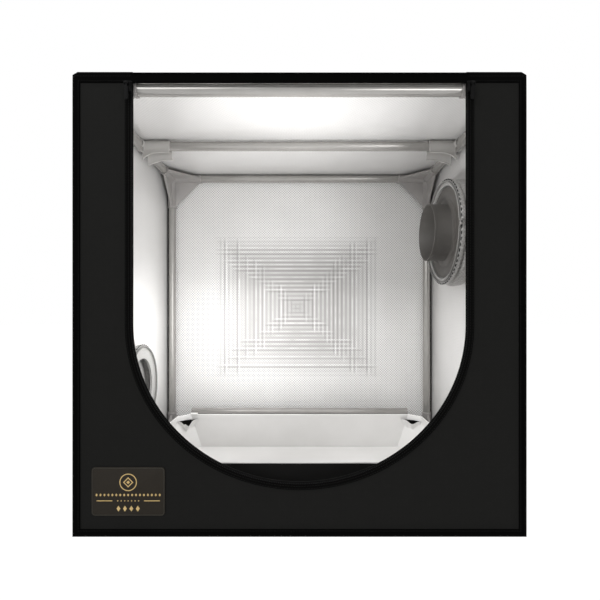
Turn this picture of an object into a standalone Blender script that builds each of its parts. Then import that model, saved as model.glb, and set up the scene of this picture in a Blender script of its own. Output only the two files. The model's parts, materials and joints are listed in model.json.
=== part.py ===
"""Indoor grow tent, with its door thrown back over the roof.

Metres, +Z up. The origin is the middle of the floor's underside, and the door faces -Y.
A push-fit frame of steel poles and plastic corners stands inside a sewn fabric shell. A zip
runs down both sides of the door and round its foot. The right wall has a duct port with its
flange, the left wall a gathered port, and a spill tray lies on the floor.
"""
import math

import bmesh
import bpy
from mathutils import Matrix, Vector

MM = 0.001
DEGREE = math.pi / 180

# Shell, measured over the fabric
TENT_WIDTH = 600 * MM
TENT_DEPTH = 409 * MM
TENT_HEIGHT = 612 * MM
FABRIC = 2.0 * MM
SEAM_GAP = 0.3 * MM
BINDING_WIDTH = 10 * MM
BINDING_THICK = 1.7 * MM
BINDING_LIP = 2.0 * MM
BINDING_CORNER = 5 * MM

# Frame of poles and corners
POLE_RADIUS = 8 * MM
POLE_WALL = 0.8 * MM
SOCKET_PLAY = 0.3 * MM
SOCKET_WALL = 1.5 * MM
SOCKET_REACH = 65 * MM
SOCKET_STOP = 14 * MM
WEB_THICK = 4 * MM
WEB_INSET = 1 * MM
CORE_INSET = 0.1 * MM
SIDE_SLACK = 2.9 * MM

# Crossbar and the clips that hang it on the side poles
CROSSBAR_DROP = 1.5 * MM
CLIP_LENGTH = 53 * MM
CLIP_LIP = 5 * MM
CLIP_WEB = 1.9 * MM
CLIP_SHOULDER = 8 * MM
CLIP_DROP = 24 * MM
CLIP_FLARE = 6.5 * MM
CLIP_INNER_DROP = 10.5 * MM
CLIP_SLOT = 13 * MM
CLAMP_LENGTH = 30 * MM

# Door opening, its zip and the door
OPENING_WIDTH = 440 * MM
OPENING_BOTTOM = 72.5 * MM
OPENING_CURVE = 207.5 * MM
ZIP_WIDTH = 10 * MM
DOOR_SKIN = 1.7 * MM
FOLD_FROM_BACK = 12.15 * MM
FOLD_PLAY = 0.5 * MM

# Zip sliders and their pull tabs
SLIDER_HEIGHT = 14 * MM
SLIDER_THICK = 4 * MM
SLIDER_ROUND = 0.8 * MM
SLIDER_TOP_REST = 1 * MM
EAR_THICK = 1.0 * MM
EAR_ROOT = 0.5 * MM
PIN_RADIUS = 0.8 * MM
PIN_STAND = 2.3 * MM
PIN_BELOW_TOP = 4 * MM
PULL_BORE = 1.1 * MM
PULL_EYE = 1.9 * MM
PULL_EYE_LENGTH = 3.6 * MM
PULL_LENGTH = 22 * MM
PULL_WIDTH = 5 * MM
PULL_THICK = 1.4 * MM

# Ports in the side walls
RIGHT_PORT_CLEAR = 38.4 * MM
LEFT_PORT_HEIGHT = 165 * MM
RIGHT_SLEEVE_RADIUS = 88 * MM
LEFT_SLEEVE_RADIUS = 64 * MM
RIGHT_SLEEVE_REACH = 40 * MM
LEFT_SLEEVE_REACH = 16 * MM
SLEEVE_SKIN = 2 * MM
CUFF_DEPTH = 8 * MM
CUFF_ROUND = 2 * MM
RIGHT_CUFF_BULGE = 4 * MM
LEFT_CUFF_BULGE = 11 * MM
LEFT_CUFF_BORE = 50 * MM
HEM_WIDTH = 9 * MM
HEM_THICK = 1.0 * MM
SOCK_CROWN = 1.2 * MM
SOCK_CROWN_RADIUS = 12 * MM

# Duct flange held by the right port's cuff
FLANGE_RADIUS = 79.7 * MM
FLANGE_THICK = 3 * MM
FLANGE_PLAY = 0.5 * MM
FLANGE_SET_BACK = 2.5 * MM
COLLAR_RADIUS = 50 * MM
COLLAR_WALL = 1.5 * MM
COLLAR_REACH = 31.5 * MM
SPIGOT_SHORT = 1 * MM

# Drawcords and their locks
CORD_RADIUS = 1.5 * MM
CORD_FROM_EDGE = 4 * MM
CORD_SPREAD = 3 * MM
CORD_TURN = 6 * MM
CORD_LIFT = 1.2 * MM
LOCK_RADIUS = 5.5 * MM
LOCK_HEIGHT = 14 * MM
LOCK_FLOOR = 3 * MM
BUTTON_RADIUS = 4.2 * MM
BUTTON_PLAY = 0.3 * MM
BUTTON_STAND = 5 * MM
BUTTON_TRAVEL = 3.5 * MM
BUTTON_SPARE = 0.8 * MM

# Spill tray
TRAY_SKIN = 1.5 * MM
TRAY_HEIGHT = 78 * MM
TRAY_PLAY = 1.5 * MM
TRAY_SIDE_LEAN = 16 * MM
TRAY_END_LEAN = 26.6 * MM
TRAY_TOP_CORNER = 22 * MM
TRAY_WEB_CLEAR = 4 * MM

# Label patch
LABEL_WIDTH = 97 * MM
LABEL_HEIGHT = 64.2 * MM
LABEL_THICK = 1.0 * MM
LABEL_ROUND = 5 * MM
LABEL_SIDE_INSET = 25.4 * MM
LABEL_RISE = 27.9 * MM

# Facets and the overrun of every cut
CUT_OVERRUN = 2 * MM
POLE_SIDES = 20
PORT_SIDES = 40
SMALL_SIDES = 16
ARCH_STEPS = 40
CORNER_STEPS = 4
CORD_STEPS = 44
TURN_STEPS = 3
CORD_FACETS = 2
SMOOTH_ANGLE = 35 * DEGREE

# Places that follow from the sizes above
HALF_WIDTH = TENT_WIDTH / 2
WALL_OUTER = HALF_WIDTH - BINDING_LIP
WALL_INNER = WALL_OUTER - FABRIC
FRONT_FACE = -TENT_DEPTH / 2
BACK_FACE = TENT_DEPTH / 2
BINDING_TOP = TENT_HEIGHT - DOOR_SKIN - SEAM_GAP
ROOF_TOP = BINDING_TOP - BINDING_LIP
ROOF_UNDER = ROOF_TOP - FABRIC
WALL_LOW = FABRIC + SEAM_GAP
WALL_HIGH = ROOF_UNDER - SEAM_GAP

BORE_RADIUS = POLE_RADIUS + SOCKET_PLAY
SOCKET_RADIUS = BORE_RADIUS + SOCKET_WALL
POLE_X = WALL_INNER - SEAM_GAP - SIDE_SLACK - SOCKET_RADIUS
POLE_Y = BACK_FACE - FABRIC - SEAM_GAP - SOCKET_RADIUS
POLE_LOW = FABRIC + SEAM_GAP + SOCKET_RADIUS
POLE_HIGH = ROOF_UNDER - SEAM_GAP - SOCKET_RADIUS
POLE_END = SOCKET_STOP + SOCKET_PLAY
WEB_REACH = SOCKET_REACH - WEB_INSET

CROSSBAR_Z = POLE_HIGH - CROSSBAR_DROP
CROSSBAR_END = POLE_X - BORE_RADIUS - CLIP_WEB - SOCKET_PLAY

RIGHT_PORT_EDGE = RIGHT_SLEEVE_RADIUS + RIGHT_CUFF_BULGE
RIGHT_PORT_HEIGHT = CROSSBAR_Z - CLIP_DROP - RIGHT_PORT_CLEAR - RIGHT_PORT_EDGE

OPENING_HALF = OPENING_WIDTH / 2
OPENING_TOP = BINDING_TOP - BINDING_WIDTH
CURVE_Z = OPENING_BOTTOM + OPENING_CURVE
BINDING_FRONT = FRONT_FACE - SEAM_GAP - BINDING_THICK
DOOR_FRONT = BINDING_FRONT - SEAM_GAP - DOOR_SKIN

HINGE_Y = DOOR_FRONT + DOOR_SKIN / 2
HINGE_Z = TENT_HEIGHT - DOOR_SKIN / 2
DOOR_STRAIGHT = HINGE_Z - CURVE_Z
FOLD_Y = BACK_FACE - FOLD_FROM_BACK
FOLD_REACH = FOLD_Y - HINGE_Y
FLAP_LOW = TENT_HEIGHT + SEAM_GAP

SLIDER_X = OPENING_HALF + ZIP_WIDTH / 2
SLIDER_HALF = ZIP_WIDTH / 2 - SEAM_GAP
SLIDER_BACK = DOOR_FRONT - SEAM_GAP
SLIDER_FRONT = SLIDER_BACK - SLIDER_THICK
SLIDER_TOP = OPENING_TOP - SLIDER_TOP_REST
PIN_Y = SLIDER_FRONT - PIN_STAND
PIN_Z = SLIDER_TOP - PIN_BELOW_TOP
EAR_INNER = PULL_EYE_LENGTH / 2 + SEAM_GAP


def linear(channel):
    """Turn one sRGB channel from 0 to 255 into a linear value."""
    share = channel / 255
    return share / 12.92 if share <= 0.04045 else ((share + 0.055) / 1.055) ** 2.4


def finish(name, colour, roughness, metallic=0.0):
    """Make a Principled material from an sRGB colour."""
    material = bpy.data.materials.new(name)
    material.use_nodes = True
    shader = material.node_tree.nodes["Principled BSDF"]
    shader.inputs["Base Color"].default_value = (*[linear(c) for c in colour], 1.0)
    shader.inputs["Roughness"].default_value = roughness
    shader.inputs["Metallic"].default_value = metallic
    return material


def add_object(name, shape, material):
    """Turn a bmesh into a named object with outward faces and smooth round sides."""
    bmesh.ops.remove_doubles(shape, verts=shape.verts, dist=0.01 * MM)
    bmesh.ops.recalc_face_normals(shape, faces=shape.faces)
    mesh = bpy.data.meshes.new(name)
    shape.to_mesh(mesh)
    shape.free()
    mesh.shade_smooth()
    mesh.set_sharp_from_angle(angle=SMOOTH_ANGLE)
    thing = bpy.data.objects.new(name, mesh)
    if material is not None:
        mesh.materials.append(material)
    bpy.context.collection.objects.link(thing)
    return thing


def combine(target, tool, operation):
    """Apply a Boolean of tool to target, and delete the tool."""
    modifier = target.modifiers.new("Boolean", "BOOLEAN")
    modifier.operation = operation
    modifier.solver = "EXACT"
    modifier.object = tool
    bpy.context.view_layer.update()
    evaluated = target.evaluated_get(bpy.context.evaluated_depsgraph_get())
    mesh = bpy.data.meshes.new_from_object(evaluated)
    target.modifiers.clear()
    target.data = mesh
    bpy.data.objects.remove(tool)


def box(name, low, high, material=None):
    """A rectangular block between two corners."""
    low, high = Vector(low), Vector(high)
    shape = bmesh.new()
    place = Matrix.Translation((low + high) / 2) @ Matrix.Diagonal((*(high - low), 1))
    bmesh.ops.create_cube(shape, size=1, matrix=place)
    return add_object(name, shape, material)


def rod(name, start, end, radius, sides, material=None):
    """A round bar from one point to another."""
    start, end = Vector(start), Vector(end)
    along = end - start
    place = Matrix.Translation((start + end) / 2) @ along.to_track_quat("Z", "X").to_matrix().to_4x4()
    shape = bmesh.new()
    bmesh.ops.create_cone(
        shape, cap_ends=True, segments=sides, radius1=radius, radius2=radius,
        depth=along.length, matrix=place)
    return add_object(name, shape, material)


def extrude(name, loops, place, thickness, material=None):
    """Fill flat loops of (u, v) points, holes included, and give them a thickness.

    place turns (u, v, w) into a point, where w runs from 0 to thickness.
    """
    shape = bmesh.new()
    edges = []
    for loop in loops:
        verts = [shape.verts.new((u, v, 0)) for u, v in loop]
        edges += [shape.edges.new(pair) for pair in zip(verts, verts[1:] + verts[:1])]
    bmesh.ops.triangle_fill(shape, edges=edges, use_beauty=True)
    lifted = bmesh.ops.extrude_face_region(shape, geom=list(shape.faces))["geom"]
    top = [item for item in lifted if isinstance(item, bmesh.types.BMVert)]
    bmesh.ops.translate(shape, verts=top, vec=(0, 0, thickness))
    for vert in shape.verts:
        vert.co = place(*vert.co)
    return add_object(name, shape, material)


def turn(name, profile, centre, side, material=None):
    """Turn a closed (x, radius) profile about the X axis through centre, on the given side."""
    shape = bmesh.new()
    verts = [shape.verts.new((side * x, centre[1], centre[2] + radius)) for x, radius in profile]
    edges = [shape.edges.new(pair) for pair in zip(verts, verts[1:] + verts[:1])]
    bmesh.ops.spin(
        shape, geom=verts + edges, cent=centre, axis=(1, 0, 0), angle=2 * math.pi,
        steps=PORT_SIDES, use_merge=True)
    return add_object(name, shape, material)


def corner_arc(centre_u, centre_v, radius, start):
    """Points of a quarter circle, from the angle start."""
    steps = range(CORNER_STEPS + 1)
    angles = [start + math.pi / 2 * step / CORNER_STEPS for step in steps]
    return [(centre_u + radius * math.cos(a), centre_v + radius * math.sin(a)) for a in angles]


def rectangle(low_u, low_v, high_u, high_v):
    """The four corners of a rectangle."""
    return [(low_u, low_v), (high_u, low_v), (high_u, high_v), (low_u, high_v)]


def circle(radius, centre_u, centre_v):
    """Points round a circle."""
    angles = [2 * math.pi * step / PORT_SIDES for step in range(PORT_SIDES)]
    return [(centre_u + radius * math.cos(a), centre_v + radius * math.sin(a)) for a in angles]


def arch(grow, top):
    """The opening's outline grown by a margin: down the right side, round and up the left."""
    half, drop = OPENING_HALF + grow, OPENING_CURVE + grow
    angles = [math.pi * step / ARCH_STEPS for step in range(ARCH_STEPS + 1)]
    curve = [(half * math.cos(a), CURVE_Z - drop * math.sin(a)) for a in angles]
    return [(half, top)] + curve + [(-half, top)]


def in_front(face):
    """Place (x, z) outlines on an XZ plane, growing towards +Y from face."""
    return lambda u, v, w: Vector((u, face + w, v))


# Frame

def corner_mesh(material):
    """One push-fit corner at the origin, its sockets along +X, +Y and +Z."""
    core = SOCKET_RADIUS - CORE_INSET
    corner = box("corner", (-core, -core, -core), (core, core, core), material)
    directions = [Vector((1, 0, 0)), Vector((0, 1, 0)), Vector((0, 0, 1))]
    for along in directions:
        arm = rod("arm", (0, 0, 0), along * SOCKET_REACH, SOCKET_RADIUS, POLE_SIDES)
        combine(corner, arm, "UNION")
    root = (BORE_RADIUS + SOCKET_RADIUS) / 2
    web = [(0, 0), (WEB_REACH, 0), (WEB_REACH, root), (root, WEB_REACH), (0, WEB_REACH)]
    half = WEB_THICK / 2
    for first, second in ((0, 1), (1, 2), (2, 0)):
        third = directions[3 - first - second]
        flat = (directions[first], directions[second], third)
        web_plate = extrude(
            "web", [web], lambda u, v, w, f=flat: f[0] * u + f[1] * v + f[2] * (w - half),
            WEB_THICK)
        combine(corner, web_plate, "UNION")
    for along in directions:
        reach = SOCKET_REACH + CUT_OVERRUN
        bore = rod("bore", along * SOCKET_STOP, along * reach, BORE_RADIUS, POLE_SIDES)
        combine(corner, bore, "DIFFERENCE")
    return corner


def build_corners(material):
    """Eight corners, each a mirrored copy of one mesh."""
    pattern = corner_mesh(material)
    for high, z in (("bottom", POLE_LOW), ("top", POLE_HIGH)):
        for depth, y in (("front", -POLE_Y), ("back", POLE_Y)):
            for side, x in (("left", -POLE_X), ("right", POLE_X)):
                signs = [-math.copysign(1, x), -math.copysign(1, y), 1 if high == "bottom" else -1]
                shape = bmesh.new()
                shape.from_mesh(pattern.data)
                bmesh.ops.scale(shape, verts=shape.verts, vec=signs)
                corner = add_object(f"corner_{high}_{depth}_{side}", shape, material)
                corner.location = (x, y, z)
    bpy.data.objects.remove(pattern)


def tube(name, start, end, material):
    """A pole of thin-walled tube from one point to another."""
    start, end = Vector(start), Vector(end)
    pole = rod(name, start, end, POLE_RADIUS, POLE_SIDES, material)
    overrun = (end - start).normalized() * CUT_OVERRUN
    bore = rod("bore", start - overrun, end + overrun, POLE_RADIUS - POLE_WALL, POLE_SIDES)
    combine(pole, bore, "DIFFERENCE")


def build_poles(material):
    """Twelve poles, each ending inside two corner sockets."""
    x, y = POLE_X - POLE_END, POLE_Y - POLE_END
    for level, z in (("bottom", POLE_LOW), ("top", POLE_HIGH)):
        for depth, at in (("front", -POLE_Y), ("back", POLE_Y)):
            tube(f"pole_{level}_{depth}", (-x, at, z), (x, at, z), material)
        for side, at in (("left", -POLE_X), ("right", POLE_X)):
            tube(f"pole_{level}_{side}", (at, -y, z), (at, y, z), material)
    low, high = POLE_LOW + POLE_END, POLE_HIGH - POLE_END
    for depth, y in (("front", -POLE_Y), ("back", POLE_Y)):
        for side, x in (("left", -POLE_X), ("right", POLE_X)):
            tube(f"pole_upright_{depth}_{side}", (x, y, low), (x, y, high), material)


def clip_profile(radius, shoulder, flare, drop):
    """Section of the clip's channel: round over the bar, straight sides, a flared mouth."""
    steps = range(SMALL_SIDES // 2 + 1)
    angles = [math.pi * step / (SMALL_SIDES // 2) for step in steps]
    crown = [(radius * math.cos(a), radius * math.sin(a)) for a in angles]
    mouth = radius + flare
    return crown + [(-radius, -shoulder), (-mouth, -drop), (mouth, -drop), (radius, -shoulder)]


def build_clip(name, side, material):
    """The clip at one end of the crossbar: a channel for the bar, and a clamp on the pole."""
    inner_end, lip_end = POLE_X - CLIP_LENGTH, POLE_X + CLIP_LIP

    def along_bar(start):
        return lambda u, v, w: Vector((side * (start + w), u, CROSSBAR_Z + v))

    outer = clip_profile(SOCKET_RADIUS, CLIP_SHOULDER, CLIP_FLARE, CLIP_DROP)
    clip = extrude(name, [outer], along_bar(inner_end), lip_end - inner_end, material)
    half = CLAMP_LENGTH / 2
    clamp = rod("clamp", (side * POLE_X, -half, POLE_HIGH), (side * POLE_X, half, POLE_HIGH),
                SOCKET_RADIUS, POLE_SIDES)
    combine(clip, clamp, "UNION")

    start = inner_end - CUT_OVERRUN
    low = CLIP_DROP + CUT_OVERRUN
    inner_flare = CLIP_FLARE * (low - CLIP_INNER_DROP) / (CLIP_DROP - CLIP_SHOULDER)
    bar_room = clip_profile(BORE_RADIUS, CLIP_INNER_DROP, inner_flare, low)
    bar_cut = extrude("bar_cut", [bar_room], along_bar(start),
                      CROSSBAR_END + SOCKET_PLAY - start)
    combine(clip, bar_cut, "DIFFERENCE")
    mouth = [(BORE_RADIUS, -CLIP_INNER_DROP), (BORE_RADIUS + inner_flare, -low),
             (-BORE_RADIUS - inner_flare, -low), (-BORE_RADIUS, -CLIP_INNER_DROP)]
    mouth_cut = extrude("mouth_cut", [mouth], along_bar(start),
                        lip_end + CUT_OVERRUN - start)
    combine(clip, mouth_cut, "DIFFERENCE")

    reach = half + CLIP_FLARE + CUT_OVERRUN
    bore = rod("bore", (side * POLE_X, -reach, POLE_HIGH), (side * POLE_X, reach, POLE_HIGH),
               BORE_RADIUS, POLE_SIDES)
    combine(clip, bore, "DIFFERENCE")
    slot = box("slot", (side * POLE_X - CLIP_SLOT / 2, -reach, CROSSBAR_Z - low),
               (side * POLE_X + CLIP_SLOT / 2, reach, POLE_HIGH - BORE_RADIUS / 2))
    combine(clip, slot, "DIFFERENCE")

    slant = [(start, CLIP_DROP / 2), (lip_end + CUT_OVERRUN, CLIP_DROP),
             (lip_end + CUT_OVERRUN, low + CUT_OVERRUN), (start, low + CUT_OVERRUN)]
    wedge = extrude(
        "wedge", [slant], lambda u, v, w: Vector((side * u, w - reach, CROSSBAR_Z - v)), 2 * reach)
    combine(clip, wedge, "DIFFERENCE")
    return clip


def build_frame():
    """Poles, corners and the sliding crossbar with its clips."""
    steel = finish("powder_coated_steel", (188, 187, 184), 0.35, 0.4)
    plastic = finish("grey_nylon", (134, 131, 129), 0.5)
    build_poles(steel)
    build_corners(plastic)
    tube("crossbar", (-CROSSBAR_END, 0, CROSSBAR_Z), (CROSSBAR_END, 0, CROSSBAR_Z), steel)
    build_clip("crossbar_clip_left", -1, plastic)
    build_clip("crossbar_clip_right", 1, plastic)


# Shell

def build_walls():
    """The six fabric panels, cut for the door and the ports."""
    canvas = finish("black_oxford_fabric", (31, 31, 29), 0.85)
    front = [rectangle(-WALL_OUTER, WALL_LOW, WALL_OUTER, WALL_HIGH), arch(0, OPENING_TOP)]
    extrude("front_panel", front, in_front(FRONT_FACE), FABRIC, canvas)
    back = [rectangle(-WALL_OUTER, WALL_LOW, WALL_OUTER, WALL_HIGH)]
    extrude("back_panel", back, in_front(BACK_FACE - FABRIC), FABRIC, canvas)
    box("roof_panel", (-WALL_OUTER, FRONT_FACE, ROOF_UNDER), (WALL_OUTER, BACK_FACE, ROOF_TOP), canvas)
    box("floor_panel", (-WALL_OUTER, FRONT_FACE, 0), (WALL_OUTER, BACK_FACE, FABRIC), canvas)
    reach = BACK_FACE - FABRIC - SEAM_GAP
    ports = (("left_panel", -1, LEFT_SLEEVE_RADIUS, LEFT_PORT_HEIGHT),
             ("right_panel", 1, RIGHT_SLEEVE_RADIUS, RIGHT_PORT_HEIGHT))
    for name, side, radius, height in ports:
        loops = [rectangle(-reach, WALL_LOW, reach, WALL_HIGH), circle(radius + SEAM_GAP, 0, height)]
        extrude(name, loops, lambda u, v, w, s=side: Vector((s * (WALL_INNER + w), u, v)),
                FABRIC, canvas)


def build_bindings():
    """The seam bindings: a frame at the front and the back, and a strip along each side edge."""
    tape = finish("black_binding_tape", (8, 8, 8), 0.8)
    inner = rectangle(-HALF_WIDTH + BINDING_WIDTH, BINDING_WIDTH, HALF_WIDTH - BINDING_WIDTH,
                      OPENING_TOP)
    shoulder = HALF_WIDTH - BINDING_CORNER
    crown = BINDING_TOP - BINDING_CORNER
    outer = [(-HALF_WIDTH, 0), (HALF_WIDTH, 0)]
    outer += corner_arc(shoulder, crown, BINDING_CORNER, 0)
    outer += corner_arc(-shoulder, crown, BINDING_CORNER, math.pi / 2)
    for name, face in (("front_binding", BINDING_FRONT), ("back_binding", BACK_FACE + SEAM_GAP)):
        extrude(name, [outer, inner], in_front(face), BINDING_THICK, tape)
    low_x = WALL_OUTER + SEAM_GAP
    for level, z in (("bottom", 0), ("top", OPENING_TOP)):
        for side, x in (("left", -HALF_WIDTH), ("right", low_x)):
            box(f"{level}_{side}_binding", (x, FRONT_FACE, z),
                (x + HALF_WIDTH - low_x, BACK_FACE, z + BINDING_WIDTH), tape)


# Door and zip

def build_zip_tape():
    """The fixed half of the zip, a band round the sides and foot of the opening."""
    tape = finish("black_zip_tape", (14, 14, 13), 0.7)
    high = OPENING_TOP - SEAM_GAP
    band = arch(ZIP_WIDTH, high) + arch(0, high)[::-1]
    thickness = FRONT_FACE - SEAM_GAP - DOOR_FRONT
    extrude("door_zip_tape", [band], in_front(DOOR_FRONT), thickness, tape)


def door_half_width(reach):
    """Half the door's width at a distance from its hinge."""
    half = OPENING_HALF - SEAM_GAP
    if reach <= DOOR_STRAIGHT:
        return half
    share = (reach - DOOR_STRAIGHT) / (OPENING_CURVE - SEAM_GAP)
    return half * math.sqrt(max(0, 1 - share * share))


def door_outline(start, end):
    """Outline of a stretch of the door, from one distance from the hinge to another."""
    edge = [start]
    if start < DOOR_STRAIGHT < end:
        edge.append(DOOR_STRAIGHT)
    if end > DOOR_STRAIGHT:
        drop = OPENING_CURVE - SEAM_GAP
        low = math.asin(max(0, start - DOOR_STRAIGHT) / drop)
        high = math.asin(min(1, (end - DOOR_STRAIGHT) / drop))
        steps = ARCH_STEPS // 2
        edge += [DOOR_STRAIGHT + drop * math.sin(low + (high - low) * step / steps)
                 for step in range(1, steps)]
    edge.append(end)
    right = [(door_half_width(reach), reach) for reach in edge]
    left = [(-u, v) for u, v in right[::-1] if u > 0]
    return right + left


def build_door():
    """The door, thrown back over the roof with its rounded foot folded on top."""
    lining = finish("black_door_fabric", (31, 31, 29), 0.85)
    foot = HINGE_Z - OPENING_BOTTOM - SEAM_GAP
    upper = door_outline(0, FOLD_REACH - FOLD_PLAY)
    low = TENT_HEIGHT - DOOR_SKIN
    hinge = Vector((0, HINGE_Y, HINGE_Z))
    fold = Vector((0, FOLD_Y, TENT_HEIGHT + SEAM_GAP / 2))
    upper_panel = extrude(
        "door_upper", [upper],
        lambda u, v, w: Vector((u, HINGE_Y + v, low + w)) - hinge, DOOR_SKIN, lining)
    upper_panel.location = hinge
    lower = door_outline(FOLD_REACH + FOLD_PLAY, foot)
    lower_panel = extrude(
        "door_lower", [lower],
        lambda u, v, w: Vector((u, FOLD_Y + FOLD_REACH - v, FLAP_LOW + w)) - fold, DOOR_SKIN, lining)
    lower_panel.location = fold


def build_sliders():
    """Two zip sliders at the top of the zip, each with a pull tab on its pin."""
    metal = finish("black_nickel_zinc", (28, 28, 28), 0.35, 0.9)
    for name, side in (("left", -1), ("right", 1)):
        centre = side * SLIDER_X
        slider = box(f"zip_slider_{name}", (centre - SLIDER_HALF, SLIDER_FRONT, SLIDER_TOP - SLIDER_HEIGHT),
                     (centre + SLIDER_HALF, SLIDER_BACK, SLIDER_TOP), metal)
        bevel = slider.modifiers.new("Round", "BEVEL")
        bevel.width = SLIDER_ROUND
        bevel.segments = 2
        bpy.context.view_layer.update()
        evaluated = slider.evaluated_get(bpy.context.evaluated_depsgraph_get())
        slider.data = bpy.data.meshes.new_from_object(evaluated)
        slider.modifiers.clear()
        for turn_side in (-1, 1):
            near = centre + turn_side * EAR_INNER
            far = near + turn_side * EAR_THICK
            ear = box("ear", (min(near, far), PIN_Y - PIN_RADIUS * 2, PIN_Z - PIN_RADIUS * 2),
                      (max(near, far), SLIDER_FRONT + EAR_ROOT, PIN_Z + PIN_RADIUS * 2))
            combine(slider, ear, "UNION")
        pin_half = EAR_INNER + EAR_THICK / 2
        pin = rod("pin", (centre - pin_half, PIN_Y, PIN_Z), (centre + pin_half, PIN_Y, PIN_Z),
                  PIN_RADIUS, SMALL_SIDES)
        combine(slider, pin, "UNION")
        build_pull(f"zip_pull_{name}", centre, metal)


def build_pull(name, centre, material):
    """A pull tab hanging from the slider's pin, its origin on the pin's axis."""
    half = PULL_EYE_LENGTH / 2
    pull = rod(name, (-half, 0, 0), (half, 0, 0), PULL_EYE, SMALL_SIDES, material)
    neck = half - EAR_ROOT
    stem = box("stem", (-neck, -PULL_THICK / 2, -PULL_EYE - PULL_WIDTH),
               (neck, PULL_THICK / 2, -PULL_BORE))
    combine(pull, stem, "UNION")
    top = -PULL_EYE - PULL_WIDTH / 2
    round_half = PULL_WIDTH / 2
    tab = corner_arc(0, top - round_half, round_half, 0) + corner_arc(
        0, top - round_half, round_half, math.pi / 2)
    tab += corner_arc(0, round_half - PULL_LENGTH, round_half, math.pi)
    tab += corner_arc(0, round_half - PULL_LENGTH, round_half, 3 * math.pi / 2)
    plate = extrude("plate", [tab], in_front(-PULL_THICK / 2), PULL_THICK)
    combine(pull, plate, "UNION")
    bore = rod("bore", (-half - CUT_OVERRUN, 0, 0), (half + CUT_OVERRUN, 0, 0), PULL_BORE,
               SMALL_SIDES)
    combine(pull, bore, "DIFFERENCE")
    pull.location = (centre, PIN_Y, PIN_Z)


# Ports

def build_sleeve(name, side, height, radius, reach, bulge, bore, material):
    """A fabric sleeve turned into the tent: outer hem, tube and gathered cuff."""
    face = WALL_INNER - reach
    back = face + CUFF_DEPTH
    edge = radius + bulge
    hem = WALL_OUTER + SEAM_GAP
    profile = [
        (face, bore), (face, edge - CUFF_ROUND), (face + CUFF_ROUND, edge),
        (back - CUFF_ROUND, edge), (back, edge - CUFF_ROUND), (back, radius),
        (hem, radius), (hem, radius + HEM_WIDTH), (hem + HEM_THICK, radius + HEM_WIDTH),
        (hem + HEM_THICK, radius - SLEEVE_SKIN), (back, radius - SLEEVE_SKIN), (back, bore)]
    return turn(name, profile, (0, 0, height), side, material)


def drawcord_route(side, height, cuff_face, edge, lock_face):
    """Route of a drawcord: from its lock, once round the cuff's face, and back to the lock."""
    ring = edge - CORD_FROM_EDGE
    ring_x = cuff_face - SEAM_GAP - CORD_RADIUS
    out = edge + SEAM_GAP + LOCK_RADIUS
    rise = CORD_SPREAD + CORD_TURN
    centre = math.sqrt((ring + CORD_TURN) ** 2 - rise ** 2)
    meet = math.asin(rise / (ring + CORD_TURN))
    turn_x = ring_x + CORD_TURN / 2

    half = [(lock_face, out, CORD_SPREAD), (turn_x + CORD_TURN / 2, out, CORD_SPREAD),
            (ring_x + CORD_LIFT / 2, out - CORD_LIFT / 2, CORD_SPREAD),
            (ring_x, centre + CORD_LIFT / 2, CORD_SPREAD)]
    for step in range(1, TURN_STEPS + 1):
        angle = (math.pi / 2 - meet) * step / TURN_STEPS
        half.append((ring_x, centre - CORD_TURN * math.sin(angle), rise - CORD_TURN * math.cos(angle)))
    ring_points = []
    for step in range(1, CORD_STEPS):
        angle = meet + 2 * (math.pi - meet) * step / CORD_STEPS
        ring_points.append((ring_x, ring * math.cos(angle), ring * math.sin(angle)))
    other = [(x, y, -z) for x, y, z in half[::-1]]
    return [Vector((side * x, -y, height + z)) for x, y, z in half + ring_points + other]


def build_drawcord(name, points, material):
    """A drawcord as a round tube along its route."""
    curve = bpy.data.curves.new(name, "CURVE")
    curve.dimensions = "3D"
    curve.bevel_depth = CORD_RADIUS
    curve.bevel_resolution = CORD_FACETS
    curve.use_fill_caps = True
    spline = curve.splines.new("POLY")
    spline.points.add(len(points) - 1)
    for point, place in zip(spline.points, points):
        point.co = (*place, 1)
    curve.materials.append(material)
    bpy.context.collection.objects.link(bpy.data.objects.new(name, curve))


def build_lock(name, side, height, offset, material):
    """A spring cord lock beside the cuff, and its push button."""
    centre = Vector((side * (WALL_INNER - SEAM_GAP - LOCK_RADIUS), -offset, height))
    half = Vector((0, 0, LOCK_HEIGHT / 2))
    lock = rod(f"{name}_cord_lock", centre - half, centre + half, LOCK_RADIUS, SMALL_SIDES, material)
    floor = centre - half + Vector((0, 0, LOCK_FLOOR))
    room = rod("room", floor, centre + half + Vector((0, 0, CUT_OVERRUN)),
               BUTTON_RADIUS + BUTTON_PLAY, SMALL_SIDES)
    combine(lock, room, "DIFFERENCE")
    foot = floor + Vector((0, 0, BUTTON_TRAVEL + BUTTON_SPARE))
    rod(f"{name}_lock_button", foot, centre + half + Vector((0, 0, BUTTON_STAND)),
        BUTTON_RADIUS, SMALL_SIDES, material)


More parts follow.
